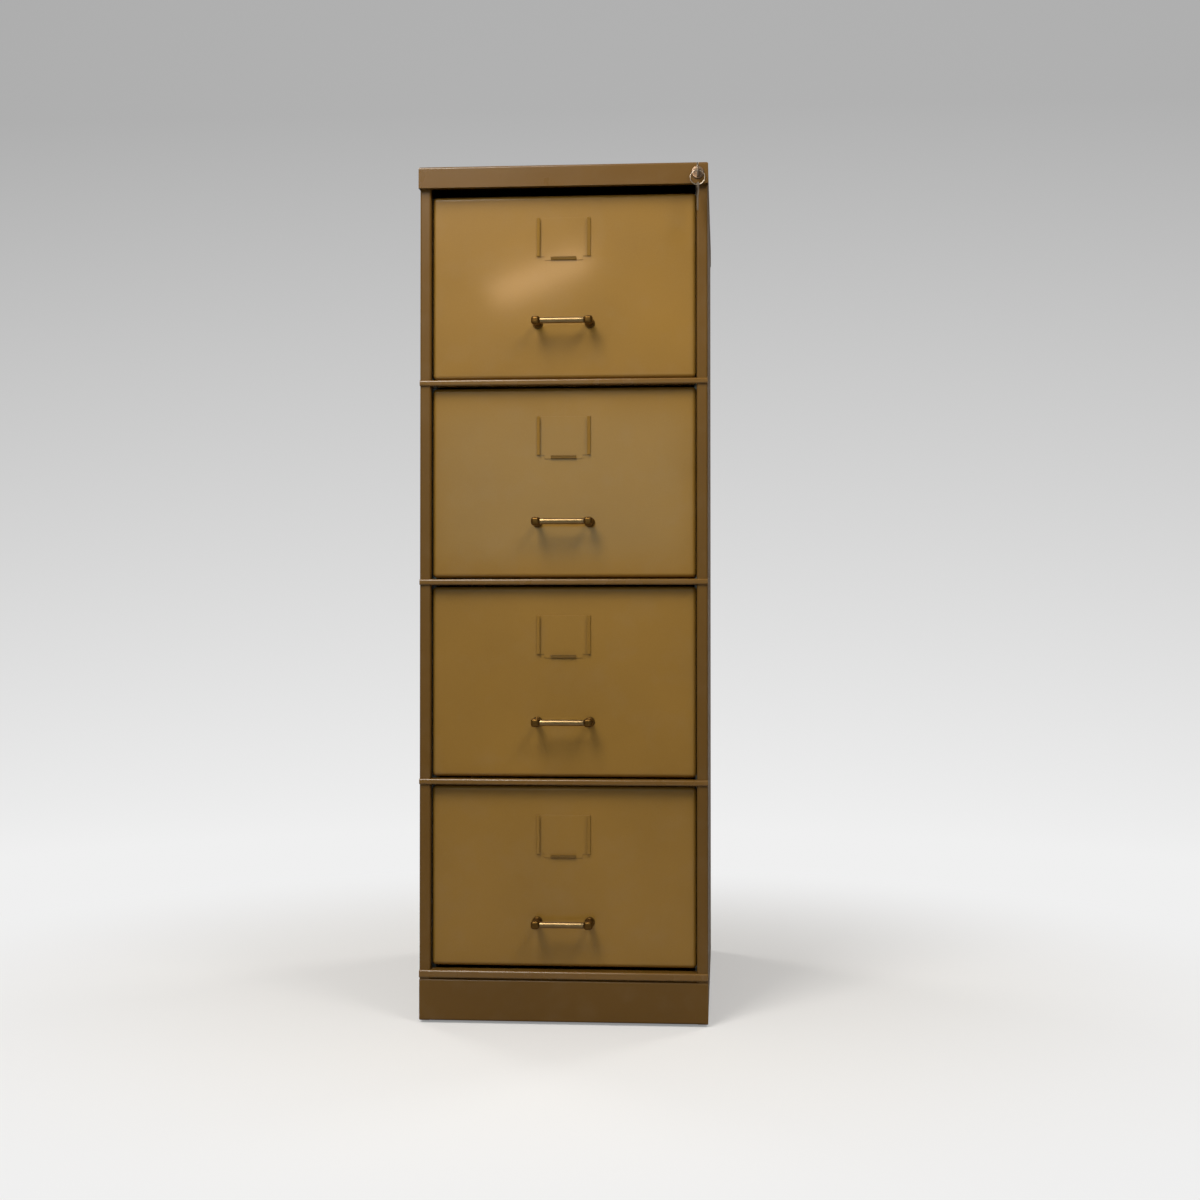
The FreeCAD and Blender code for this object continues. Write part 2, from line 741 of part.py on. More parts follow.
def make_slide(label, wall_x, flange_x, half_height, side, lip=None):
    """One member of a telescopic slide, a channel that opens towards the member nested in it.

    side is 1 where the sheet lies inboard of wall_x and the channel opens outboard, and -1 the other way.
    """
    body = new_body(label, y="0")
    path = [
        (flange_x, half_height),
        (wall_x, half_height),
        (wall_x, f"-1 * {half_height}"),
        (flange_x, f"-1 * {half_height}"),
    ]
    if lip is not None:
        path.insert(0, (flange_x, f"{half_height} - {lip} - slide_wall"))
        path.append((flange_x, f"-1 * ({half_height} - {lip} - slide_wall)"))
    fold(body, "XZ_Plane", path, "slide_wall", side, "slide_start", SLIDE_LENGTH)
    return body


def make_slides():
    """Outer member on the uprights, intermediate member, and inner member on the tray, for both sides."""
    outer_half = "(slide_height / 2)"
    middle_half = "(slide_height / 2 - slide_wall - slide_play)"
    inner_half = "(slide_height / 2 - 2 * slide_wall - 2 * slide_play)"
    mouth = f"({TRAY_HALF} + slide_wall + slide_play)"
    outer = make_slide("slide_outer", UPRIGHT_FACE, mouth, outer_half, -1, "slide_lip")
    middle_wall = f"({UPRIGHT_FACE} - slide_wall - slide_play)"
    middle_mouth = f"({mouth} + slide_wall + slide_play)"
    middle = make_slide("slide_middle", middle_wall, middle_mouth, middle_half, -1)
    inner_reach = f"({middle_wall} - slide_wall - slide_play)"
    inner = make_slide("slide_inner", TRAY_HALF, inner_reach, inner_half, 1)
    return [[member, mirror_image(member)] for member in (outer, middle, inner)]


def make_handle():
    """Cast posts with a block head each, the bar between the heads, and the screws that hold them."""
    post = new_body("post", y="0")
    sketch = new_sketch(post, "XY_Plane")
    draw_outline(
        sketch,
        [
            ("0", "0"),
            ("post_foot_radius", "0"),
            ("post_foot_radius", "-1 * post_foot_height"),
            ("post_radius", "-1 * post_foot_height"),
            ("post_radius", "head_height / 2 - handle_reach"),
            ("0", "head_height / 2 - handle_reach"),
        ],
    )
    revolve(post, sketch)
    sketch = new_sketch(post, "XZ_Plane", "-1 * (handle_reach + head_height / 2)")
    draw_rectangle(sketch, "-1 * head_width / 2", "-1 * head_height / 2", "head_width / 2", "head_height / 2")
    pad(post, sketch, "head_height")
    sketch = new_sketch(post, "XZ_Plane", "-1 * (screw_bite + screw_radius)")
    core = "(screw_radius + pin_play)"
    draw_rectangle(sketch, f"-1 * {core}", f"-1 * {core}", core, core)
    pocket(post, sketch, "screw_bite + 2 * screw_radius")

    bar = new_body("bar", y="0")
    span = "(handle_length - 2 * head_width)"
    sketch = new_sketch(bar, "YZ_Plane", f"-1 * {span} / 2")
    draw_circle(sketch, "-1 * handle_reach", "0", "bar_radius")
    pad(bar, sketch, span)

    screw = new_body("screw", y="0")
    sketch = new_sketch(screw, "XZ_Plane", "-1 * (front_wall + screw_bite)")
    draw_circle(sketch, "0", "0", "screw_radius")
    pad(screw, sketch, "front_wall + screw_bite")
    sketch = new_sketch(screw, "XZ_Plane")
    draw_hexagon(sketch, "screw_head_radius")
    pad(screw, sketch, "screw_head_height")
    return post, bar, screw


def make_card_holder():
    """Label holder folded from one sheet: a back with three lips and relieved lower corners."""
    body = new_body("card", y="0")
    half = "(card_width / 2)"
    back = "front_recess"
    face = "(front_recess - card_depth)"
    sketch = new_sketch(body, "XZ_Plane", f"{back} - card_wall")
    relief_x = f"({half} - card_relief)"
    draw_outline(
        sketch,
        [
            (f"-1 * {relief_x}", CARD_RISE),
            (relief_x, CARD_RISE),
            (relief_x, f"{CARD_RISE} + card_relief / 2"),
            (half, f"{CARD_RISE} + card_relief / 2"),
            (half, f"{CARD_RISE} + card_height"),
            (f"-1 * {half}", f"{CARD_RISE} + card_height"),
            (f"-1 * {half}", f"{CARD_RISE} + card_relief / 2"),
            (f"-1 * {relief_x}", f"{CARD_RISE} + card_relief / 2"),
        ],
    )
    pad(body, sketch, "card_wall")
    for side in (RIGHT, LEFT):
        path = mirrored([(half, back), (half, face), (f"{half} - card_lip", face)], side)
        length = "card_height - card_relief"
        fold(body, "XY_Plane", path, "card_wall", -1 * side, f"{CARD_RISE} + card_relief", length)
    path = [(back, CARD_RISE), (face, CARD_RISE), (face, f"{CARD_RISE} + card_lip")]
    fold(body, "YZ_Plane", path, "card_wall", -1, f"-1 * {relief_x}", f"2 * {relief_x}")
    return body


def add_drawers():
    """Everything that repeats at the four drawer levels."""
    tray = make_tray()
    catch = make_catch()
    outer, middle, inner = make_slides()
    post, bar, screw = make_handle()
    card = make_card_holder()
    post_x = "(handle_length - head_width) / 2"
    posts = [placed(f"post_{name}", [post], x=f"{side} * {post_x}") for name, side in SIDES]
    screws = [placed(f"screw_{name}", [screw], x=f"{side} * {post_x}") for name, side in SIDES]
    outer_pairs = []
    for drawer in DRAWERS:
        base = level(drawer)
        add_front(drawer)
        handle_z = f"{base} + handle_rise"
        handle_y = f"{FRONT} + front_recess"
        slide_z = f"{base} + slide_rise"
        keep(f"tray_{drawer}", placed(f"tray_{drawer}", [tray], y=FRONT, z=base))
        keep(f"lock_catch_{drawer}", placed(f"lock_catch_{drawer}", [catch], y=FRONT, z=base))
        keep(f"inner_slides_{drawer}", placed(f"inner_slides_{drawer}", inner, y=FRONT, z=slide_z))
        keep(f"middle_slides_{drawer}", placed(f"middle_slides_{drawer}", middle, y=FRONT, z=slide_z))
        keep(f"handle_posts_{drawer}", placed(f"handle_posts_{drawer}", posts, y=handle_y, z=handle_z))
        keep(f"handle_bar_{drawer}", placed(f"handle_bar_{drawer}", [bar], y=handle_y, z=handle_z))
        screw_y = f"{handle_y} + front_wall"
        keep(f"handle_screws_{drawer}", placed(f"handle_screws_{drawer}", screws, y=screw_y, z=handle_z))
        keep(f"card_holder_{drawer}", placed(f"card_holder_{drawer}", [card], y=FRONT, z=base))
        outer_pairs.append(placed(f"outer_slides_{drawer}", outer, y=FRONT, z=slide_z))
    keep("outer_slides", placed("outer_slides", outer_pairs))


def add_lock_cylinder():
    """Lock housing through the fascia, the plug that turns in it, and the cam on the plug's tail."""
    body = new_body("lock_housing", x=LOCK_X, z=LOCK_LEVEL)
    sketch = new_sketch(body, "XY_Plane")
    bore = "(plug_radius + pin_play)"
    front = "-1 * lock_flange_height"
    draw_outline(
        sketch,
        [
            (bore, front),
            ("lock_flange_radius", front),
            ("lock_flange_radius", "0"),
            ("lock_barrel_radius", "0"),
            ("lock_barrel_radius", "lock_barrel_length"),
            (bore, "lock_barrel_length"),
        ],
    )
    revolve(body, sketch)
    keep("lock_housing", body)

    body = new_body("lock_plug", x=LOCK_X, z=LOCK_LEVEL)
    sketch = new_sketch(body, "XZ_Plane", front)
    draw_circle(sketch, "0", "0", "plug_radius")
    pad(body, sketch, f"lock_flange_height + {CAM_FRONT}")
    sketch = new_sketch(body, "XZ_Plane", CAM_FRONT)
    draw_square(sketch, "tail_width")
    pad(body, sketch, "tail_length")
    sketch = new_sketch(body, "XZ_Plane", f"{front} - key_wall")
    slot_x = "(key_wall / 2 + keyway_slack)"
    slot_z = "(blade_height / 2 + keyway_slack)"
    draw_rectangle(sketch, f"-1 * {slot_x}", f"-1 * {slot_z}", slot_x, slot_z)
    pocket(body, sketch, "lock_flange_height + lock_barrel_length")
    keep("lock_plug", body)

    body = new_body("lock_cam", x=LOCK_X, z=LOCK_LEVEL)
    sketch = new_sketch(body, "XZ_Plane", CAM_FRONT)
    draw_square(sketch, "cam_hub_width")
    pad(body, sketch, "cam_wall")
    sketch = new_sketch(body, "XZ_Plane", CAM_FRONT)
    draw_circle(sketch, f"-1 * {CAM_STEP}", f"-1 * {CAM_STEP}", "cam_tip_radius")
    pad(body, sketch, "cam_wall")
    sketch = new_sketch(body, "XZ_Plane", CAM_FRONT)
    half = "(cam_arm_width / 2 / sqrt(2))"
    draw_outline(
        sketch,
        [
            (f"-1 * {half}", half),
            (f"-1 * {CAM_STEP} - {half}", f"{half} - {CAM_STEP}"),
            (f"{half} - {CAM_STEP}", f"-1 * {CAM_STEP} - {half}"),
            (half, f"-1 * {half}"),
        ],
    )
    pad(body, sketch, "cam_wall")
    sketch = new_sketch(body, "XZ_Plane", f"{CAM_FRONT} - cam_wall")
    draw_square(sketch, "tail_width + 2 * pin_play")
    pocket(body, sketch, "3 * cam_wall")
    keep("lock_cam", body)


def add_lock_bar():
    """Flat bar behind the right stile; welded to it are a dog for each drawer and a shelf over the cam."""
    body = new_body("lock_bar")
    bar_start = f"({level(4)} + {DOG_RISE} - dog_height)"
    sketch = new_sketch(body, "XY_Plane", bar_start)
    draw_rectangle(sketch, LOCK_BAR_X, "lock_bar_front", LOCK_BAR_OUTER, LOCK_BAR_REAR)
    pad(body, sketch, f"{LOCK_BAR_SHELF} - {bar_start}")
    keep("lock_bar", body)

    shelf = new_body("cam_shelf")
    finger_edge = f"({LOCK_X} - {CAM_STEP})"
    finger_end = f"({LOCK_X} - cam_radius - cam_tip_radius - lock_bar_wall)"
    tail_end = f"({CAM_FRONT} + tail_length + lock_bar_wall)"
    sketch = new_sketch(shelf, "XY_Plane", LOCK_BAR_SHELF)
    draw_outline(
        sketch,
        [
            (LOCK_BAR_OUTER, LOCK_BAR_REAR),
            (LOCK_BAR_X, LOCK_BAR_REAR),
            (LOCK_BAR_X, "lock_bar_front - lock_bar_width / 2"),
            (finger_end, "lock_bar_front - lock_bar_width / 2"),
            (finger_end, CAM_FRONT),
            (finger_edge, CAM_FRONT),
            (finger_edge, tail_end),
            (LOCK_BAR_OUTER, tail_end),
        ],
    )
    pad(shelf, sketch, "lock_bar_wall")

    dog = new_body("dog", y="0")
    sketch = new_sketch(dog, "XZ_Plane", f"{LOCK_BAR_REAR} - lock_bar_wall")
    draw_rectangle(sketch, f"{UPRIGHT_FACE} - dog_reach", DOG_RISE, LOCK_BAR_X, f"{DOG_RISE} + dog_height")
    pad(dog, sketch, "lock_bar_wall")
    dogs = [placed(f"dog_{drawer}", [dog], y=FRONT, z=level(drawer)) for drawer in DRAWERS]
    keep("lock_bar_tabs", placed("lock_bar_tabs", [shelf] + dogs))

    guide = new_body("guide", y="0")
    flange_x = f"({UPRIGHT_FACE} + 2 * carcass_wall)"
    top_x = f"({LOCK_BAR_OUTER} + lock_bar_slack + carcass_wall)"
    front = "(lock_bar_front - lock_bar_slack - carcass_wall)"
    rear = f"({LOCK_BAR_REAR} + lock_bar_slack + carcass_wall)"
    path = [
        (flange_x, f"{front} - guide_flange"),
        (flange_x, front),
        (top_x, front),
        (top_x, rear),
        (flange_x, rear),
        (flange_x, f"{rear} + guide_flange"),
    ]
    fold(guide, "XY_Plane", path, "carcass_wall", 1, f"{TRAY_TOP} - guide_drop", "guide_height")
    guides = [placed(f"guide_{drawer}", [guide], z=level(drawer)) for drawer in DRAWERS]
    keep("lock_bar_guides", placed("lock_bar_guides", guides, y=FRONT))


def add_keys():
    """The key in the plug, the ring in its bow and the spare key that hangs from the ring."""
    blank = new_body("key_blank", y="0")
    sketch = new_sketch(blank, "YZ_Plane", "-1 * key_wall / 2")
    corners = []
    for angle in range(0, 360, 45):
        corner = f"{angle} + {OCTAGON_HALF_ANGLE}"
        spread = f"key_bow_radius / cos({OCTAGON_HALF_ANGLE})"
        middle = "key_bow_radius - key_hole_inset"
        corners.append((f"{middle} + {spread} * cos({corner})", f"{spread} * sin({corner})"))
    draw_outline(sketch, corners)
    pad(blank, sketch, "key_wall")
    sketch = new_sketch(blank, "YZ_Plane", "-1 * key_wall / 2")
    shoulder = "(2 * key_bow_radius - key_hole_inset - key_shoulder_overlap)"
    tip = f"({shoulder} + blade_length)"
    draw_outline(
        sketch,
        [
            (shoulder, "-1 * blade_height / 2"),
            (f"{tip} - blade_height / 3", "-1 * blade_height / 2"),
            (tip, "-1 * blade_height / 6"),
            (tip, "blade_height / 6"),
            (f"{tip} - blade_height / 3", "blade_height / 2"),
            (shoulder, "blade_height / 2"),
        ],
    )
    pad(blank, sketch, "key_wall")
    sketch = new_sketch(blank, "YZ_Plane", "-1 * key_wall")
    draw_circle(sketch, "0", "0", "key_hole_radius")
    pocket(blank, sketch, "2 * key_wall")
    sketch = new_sketch(blank, "YZ_Plane", "-1 * key_wall")
    for index, depth in enumerate(KEY_CUT_DEPTHS):
        spot = f"({shoulder} + key_cut_start + {index} * key_cut_pitch)"
        draw_outline(
            sketch,
            [
                (spot, f"blade_height / 2 - {depth} * blade_height"),
                (f"{spot} + key_cut_half_width", "blade_height / 2 + key_cut_overrun"),
                (f"{spot} - key_cut_half_width", "blade_height / 2 + key_cut_overrun"),
            ],
        )
    pocket(blank, sketch, "2 * key_wall")

    key_y = f"{FRONT} - key_stand_off"
    keep("key", placed("key", [blank], x=LOCK_X, y=key_y, z=LOCK_LEVEL))

    rest_drop = "(key_hole_radius - ring_wire / sqrt(2) - ring_slack)"
    ring = new_body("key_ring", x=LOCK_X, y=key_y, z=f"{LOCK_LEVEL} - {rest_drop} - ring_radius")
    sketch = new_sketch(ring, "XY_Plane")
    draw_rectangle(
        sketch,
        "ring_radius - ring_wire / 2",
        "-1 * ring_wire / 2",
        "ring_radius + ring_wire / 2",
        "ring_wire / 2",
    )
    revolve(ring, sketch)
    keep("key_ring", ring)

    spare = doc.addObject("Part::Compound", "spare_key")
    spare.Links = [blank]
    hang = FreeCAD.Rotation(FreeCAD.Vector(1, 0, 0), -90)
    turn = FreeCAD.Rotation(FreeCAD.Vector(0, 0, 1), size("spare_key_turn"))
    spare.Placement = FreeCAD.Placement(FreeCAD.Vector(), turn.multiply(hang))
    keep("spare_key", place(spare, LOCK_X, key_y, f"{LOCK_LEVEL} - 2 * {rest_drop} - 2 * ring_radius"))


def write_pieces():
    doc.recompute()
    for item in doc.Objects:
        if "Invalid" in item.State or "Error" in item.State:
            raise RuntimeError(f"{item.Label} failed: {item.State}")
    os.makedirs("parts", exist_ok=True)
    for piece in pieces:
        shape = piece.Shape
        if shape.isNull() or not shape.isValid():
            raise RuntimeError(f"{piece.Label} has no valid shape")
        if len(shape.Solids) == 1:
            shape = shape.Solids[0]
        shape.exportStep(os.path.join("parts", f"{piece.Label}.step"))
        print(f"{piece.Label}: {len(shape.Solids)} solids, {shape.Volume / 1000:.2f} cm3, {shape.BoundBox}")
    lift = size(LOCK_LIFT)
    print(f"{len(pieces)} pieces, lock bar lift {lift:.3f}, {lift / 1000 / (math.pi / 2):.6f} m per radian")


add_top_cap()
add_side_panel("side_panel_left", LEFT)
add_side_panel("side_panel_right", RIGHT)
add_back_panel()
add_floor_pan()
add_plinth()
add_rails()
add_uprights()
add_feet()
add_drawers()
add_lock_cylinder()
add_lock_bar()
add_keys()
write_pieces()
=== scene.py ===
import math

import bmesh
import bpy
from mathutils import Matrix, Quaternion, Vector


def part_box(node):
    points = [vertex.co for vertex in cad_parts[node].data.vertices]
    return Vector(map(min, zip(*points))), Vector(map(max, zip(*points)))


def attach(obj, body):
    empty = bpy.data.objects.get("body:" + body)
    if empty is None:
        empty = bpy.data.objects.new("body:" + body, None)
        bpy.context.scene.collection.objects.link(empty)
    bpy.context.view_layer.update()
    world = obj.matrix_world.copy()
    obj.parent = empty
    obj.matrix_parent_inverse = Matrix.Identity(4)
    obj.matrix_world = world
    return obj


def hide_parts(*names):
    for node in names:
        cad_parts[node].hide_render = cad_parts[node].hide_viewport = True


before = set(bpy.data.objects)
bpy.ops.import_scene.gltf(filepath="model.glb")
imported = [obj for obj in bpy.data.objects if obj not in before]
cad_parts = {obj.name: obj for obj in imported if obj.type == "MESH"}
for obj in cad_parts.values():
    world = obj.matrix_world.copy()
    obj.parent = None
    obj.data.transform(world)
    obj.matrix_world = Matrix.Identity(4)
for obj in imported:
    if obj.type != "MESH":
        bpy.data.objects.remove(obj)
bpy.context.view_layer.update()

# Camera: at the height of a crouching viewer, a little to the right of the cabinet's middle.
# It looks almost level, so the top of the cabinet stays out of sight.
FASCIA_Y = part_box("top_cap")[0].y
CAMERA_SIDE = 0.246
CAMERA_DISTANCE = 2.6
CAMERA_HEIGHT = 0.623
CAMERA_PITCH = 90.72
CAMERA_TURN = 4.13
SENSOR_WIDTH = 36
LENS_LENGTH = 50.79

camera_data = bpy.data.cameras.new("camera")
camera_data.sensor_fit = "HORIZONTAL"
camera_data.sensor_width = SENSOR_WIDTH
camera_data.lens = LENS_LENGTH
camera = bpy.data.objects.new("camera", camera_data)
camera.location = (CAMERA_SIDE, FASCIA_Y - CAMERA_DISTANCE, CAMERA_HEIGHT)
camera.rotation_euler = (math.radians(CAMERA_PITCH), 0, math.radians(CAMERA_TURN))
bpy.context.scene.collection.objects.link(camera)
bpy.context.scene.camera = camera

# Studio: pale paper that sweeps up from the floor into the wall, broad soft lamps above at the front and
# the rear, and two weak ones beside the camera: a small slanted one that gives the glare on the top
# drawer, and a cool window that the second drawer mirrors faintly. The sky is a weak fill.
bpy.context.scene.view_settings.view_transform = "Standard"

WARM_WHITE = (1.0, 0.955, 0.89)
AMBER = (1.0, 0.66, 0.38)
COOL_WHITE = (0.62, 1.0, 0.92)
FRONT_AIM = (0, -0.27, 0.90)
REAR_AIM = (0, 0.2, 0.6)

SKY_TINT = (1.0, 0.98, 0.95, 1)
SKY_LOW = 0.10
SKY_HIGH = 0.50
SKY_IN_METAL = 0.15
SKY_BEHIND = 0.72

PAPER_FRONT_Y = -8.0
PAPER_MIDDLE_Y = 0.6
PAPER_HALF_WIDTH = 7.0
WALL_Y = 3.6
WALL_TOP = 7.0
SWEEP_RADIUS = 1.4
SWEEP_STEPS = 16
PAPER_SEEN = (0.86, 0.86, 0.86)
PAPER_UNSEEN = (0.35, 0.35, 0.35)
PAPER_ROUGHNESS = 0.9
WALL_HEIGHTS = (0.0, 2.6)
WALL_GLOW_LEVELS = (0.87, 0.49)
FAR_DISTANCES = (2.2, 6.8)
FAR_GLOW_LEVELS = (1.0, 0.80)
SHADOW_DISTANCES = (0.35, 1.40)
GLOW_SHARES = (0.30, 1.0)


def add_node(tree, kind, **settings):
    """Adds a shader node; settings name its properties, and inputs by their label."""
    node = tree.nodes.new(kind)
    for key, value in settings.items():
        if hasattr(node, key):
            setattr(node, key, value)
        else:
            node.inputs[key.replace("_", " ").title()].default_value = value
    return node


def map_range(tree, value, from_range, to_range, **settings):
    """Maps a value from one range to another and holds it at the ends."""
    node = add_node(tree, "ShaderNodeMapRange", **settings)
    for label, number in zip(("From Min", "From Max", "To Min", "To Max"), (*from_range, *to_range)):
        node.inputs[label].default_value = number
    tree.links.new(value, node.inputs["Value"])
    return node.outputs["Result"]


def product(tree, first, second):
    """Multiplies two values."""
    node = add_node(tree, "ShaderNodeMath", operation="MULTIPLY")
    tree.links.new(first, node.inputs[0])
    tree.links.new(second, node.inputs[1])
    return node.outputs["Value"]


def mix_colours(tree, factor, first, second):
    """Mixes two colours, given as values or as outputs of other nodes."""
    node = add_node(tree, "ShaderNodeMix", data_type="RGBA")
    tree.links.new(factor, node.inputs["Factor"])
    for socket, colour in ((node.inputs[6], first), (node.inputs[7], second)):
        if isinstance(colour, tuple):
            socket.default_value = (*colour, 1)
        else:
            tree.links.new(colour, socket)
    return node.outputs[2]


def blank_finish(name):
    """A new material, with its node tree, its main shader and the coordinates of the piece."""
    material = bpy.data.materials.new(name)
    material.use_nodes = True
    tree = material.node_tree
    place = add_node(tree, "ShaderNodeTexCoord").outputs["Object"]
    return material, tree, tree.nodes["Principled BSDF"], place


def add_sky():
    """A sky that is dim at the horizon and brighter overhead, and plain pale where the camera sees it."""
    world = bpy.data.worlds.new("sky")
    bpy.context.scene.world = world
    world.use_nodes = True
    tree = world.node_tree
    background = tree.nodes["Background"]
    background.inputs["Color"].default_value = SKY_TINT
    direction = add_node(tree, "ShaderNodeTexCoord").outputs["Generated"]
    parts = add_node(tree, "ShaderNodeSeparateXYZ")
    tree.links.new(direction, parts.inputs["Vector"])
    strength = map_range(tree, parts.outputs["Z"], (0.0, 1.0), (SKY_LOW, SKY_HIGH))
    ray = add_node(tree, "ShaderNodeLightPath")
    for kind, seen in (
        ("Is Glossy Ray", SKY_IN_METAL),
        ("Is Transmission Ray", SKY_IN_METAL),
        ("Is Camera Ray", SKY_BEHIND),
    ):
        choice = add_node(tree, "ShaderNodeMix")
        choice.inputs["B"].default_value = seen
        tree.links.new(ray.outputs[kind], choice.inputs["Factor"])
        tree.links.new(strength, choice.inputs["A"])
        strength = choice.outputs["Result"]
    tree.links.new(strength, background.inputs["Strength"])


def add_lamp(name, spot, aim, size, power, colour=WARM_WHITE, slant=0, mirrored=True):
    """A soft lamp that points at a place; slant turns it about its own beam, in degrees."""
    data = bpy.data.lights.new(name, "AREA")
    data.shape = "RECTANGLE"
    data.size, data.size_y = size
    data.energy = power
    data.color = colour
    lamp = bpy.data.objects.new(name, data)
    lamp.location = spot
    turn = (Vector(aim) - Vector(spot)).to_track_quat("-Z", "Y")
    lamp.rotation_euler = (turn @ Quaternion((0, 0, 1), math.radians(slant))).to_euler()
    lamp.visible_camera = False
    lamp.visible_glossy = mirrored
    bpy.context.scene.collection.objects.link(lamp)


def stage_paper():
    """Matt paper that the camera sees glowing with painted light, dimmer up the wall and further off, except
    near the cabinet, where its real shadow falls; all other rays see darker paper.
    """
    material, tree, paper, place = blank_finish("stage_paper")
    paper.inputs["Roughness"].default_value = PAPER_ROUGHNESS
    ray = add_node(tree, "ShaderNodeLightPath").outputs["Is Camera Ray"]
    tree.links.new(mix_colours(tree, ray, PAPER_UNSEEN, PAPER_SEEN), paper.inputs["Base Color"])

    parts = add_node(tree, "ShaderNodeSeparateXYZ")
    tree.links.new(place, parts.inputs["Vector"])
    reach = add_node(tree, "ShaderNodeVectorMath", operation="LENGTH")
    tree.links.new(place, reach.inputs[0])
    distance = reach.outputs["Value"]
    # Painted light: the glow the camera sees is brightest at the floor and dims up the wall and far away.
    wall_glow_level = map_range(tree, parts.outputs["Z"], WALL_HEIGHTS, WALL_GLOW_LEVELS)
    far_glow_level = map_range(tree, distance, FAR_DISTANCES, FAR_GLOW_LEVELS)
    glow = add_node(tree, "ShaderNodeEmission")
    tree.links.new(product(tree, wall_glow_level, far_glow_level), glow.inputs["Strength"])

    share = map_range(tree, distance, SHADOW_DISTANCES, GLOW_SHARES, interpolation_type="SMOOTHSTEP")
    blend = add_node(tree, "ShaderNodeMixShader")
    tree.links.new(product(tree, share, ray), blend.inputs["Fac"])
    tree.links.new(paper.outputs["BSDF"], blend.inputs[1])
    tree.links.new(glow.outputs["Emission"], blend.inputs[2])
    tree.links.new(blend.outputs["Shader"], tree.nodes["Material Output"].inputs["Surface"])
    return material


def add_stage():
    """Floor and wall in one sheet of paper with a wide curve between them."""
    profile = [(PAPER_FRONT_Y, 0.0), (PAPER_MIDDLE_Y, 0.0)]
    for step in range(SWEEP_STEPS + 1):
        angle = math.radians(90 * step / SWEEP_STEPS)
        back = WALL_Y - SWEEP_RADIUS + SWEEP_RADIUS * math.sin(angle)
        profile.append((back, SWEEP_RADIUS - SWEEP_RADIUS * math.cos(angle)))
    profile.append((WALL_Y, WALL_TOP))
    points = [(side * PAPER_HALF_WIDTH, y, z) for y, z in profile for side in (-1, 1)]
    faces = [(2 * i, 2 * i + 1, 2 * i + 3, 2 * i + 2) for i in range(len(profile) - 1)]
    mesh = bpy.data.meshes.new("stage")
    mesh.from_pydata(points, [], faces)
    mesh.shade_smooth()
    mesh.materials.append(stage_paper())
    stage = bpy.data.objects.new("stage", mesh)
    bpy.context.scene.collection.objects.link(stage)


add_sky()
add_lamp("lamp_left", (-0.62, -1.70, 2.55), FRONT_AIM, (0.80, 1.50), power=43)
add_lamp("lamp_right", (1.15, -1.60, 2.45), FRONT_AIM, (0.70, 0.70), power=16, mirrored=False)
add_lamp("lamp_glare", (-0.32, -2.90, 1.70), (-0.03, -0.27, 1.16), (0.32, 0.07), power=1.35,
         colour=AMBER, slant=22)
add_lamp("lamp_window", (-0.25, -2.90, 1.05), (-0.02, -0.27, 0.84), (0.78, 0.46), power=1.7,
         colour=COOL_WHITE)
for side in (-1, 1):
    add_lamp(f"lamp_rear_{side + 2}", (side * 2.1, 2.0, 2.9), REAR_AIM, (0.9, 0.9), power=26)
add_stage()

# Carcass of folded steel sheet, stove-enamelled brown: lid, sides, back, floor, plinth and cross rails.
# Its cut edges are slightly broken, and the enamel is thin and chipped there; these edges are also painted
# a little lighter, a painted highlight. The cross rails are painted lighter than the rest, a painted
# highlight.
# The plinth stands a little higher than its solid, which closes the seam under the bottom rail as welding
# and enamel do.
CARCASS_TONE = (0.138, 0.069, 0.012)
DUST_TONE = (0.36, 0.29, 0.20)
BARE_STEEL_TONE = (0.27, 0.24, 0.20)
NOISE_MIDDLE = (0.3, 0.7)
BROKEN_EDGE = 0.0003
PLINTH_RISE = 0.0016
SAME_SPOT = 1e-6
TOP_DEPTH = 1e-5
FLAT_BELOW = 0.5
SHARP_ABOVE = 33


def noise(tree, place, per_metre, detail, stretch=(1, 1, 1)):
    """Noise on the piece's own coordinates, in features per metre."""
    mapping = add_node(tree, "ShaderNodeMapping")
    mapping.inputs["Scale"].default_value = stretch
    tree.links.new(place, mapping.inputs["Vector"])
    pattern = add_node(tree, "ShaderNodeTexNoise", scale=per_metre, detail=detail)
    tree.links.new(mapping.outputs["Vector"], pattern.inputs["Vector"])
    return pattern.outputs["Fac"]


def bump(tree, height, strength, distance, previous=None):
    """Turns a pattern into small heights on the surface, on top of earlier ones."""
    node = add_node(tree, "ShaderNodeBump")
    node.inputs["Strength"].default_value = strength
    node.inputs["Distance"].default_value = distance
    tree.links.new(height, node.inputs["Height"])
    if previous is not None:
        tree.links.new(previous, node.inputs["Normal"])
    return node.outputs["Normal"]


def shade(tone, factor):
    """The same tone, darker or lighter by a factor."""
    return tuple(min(1.0, channel * factor) for channel in tone)


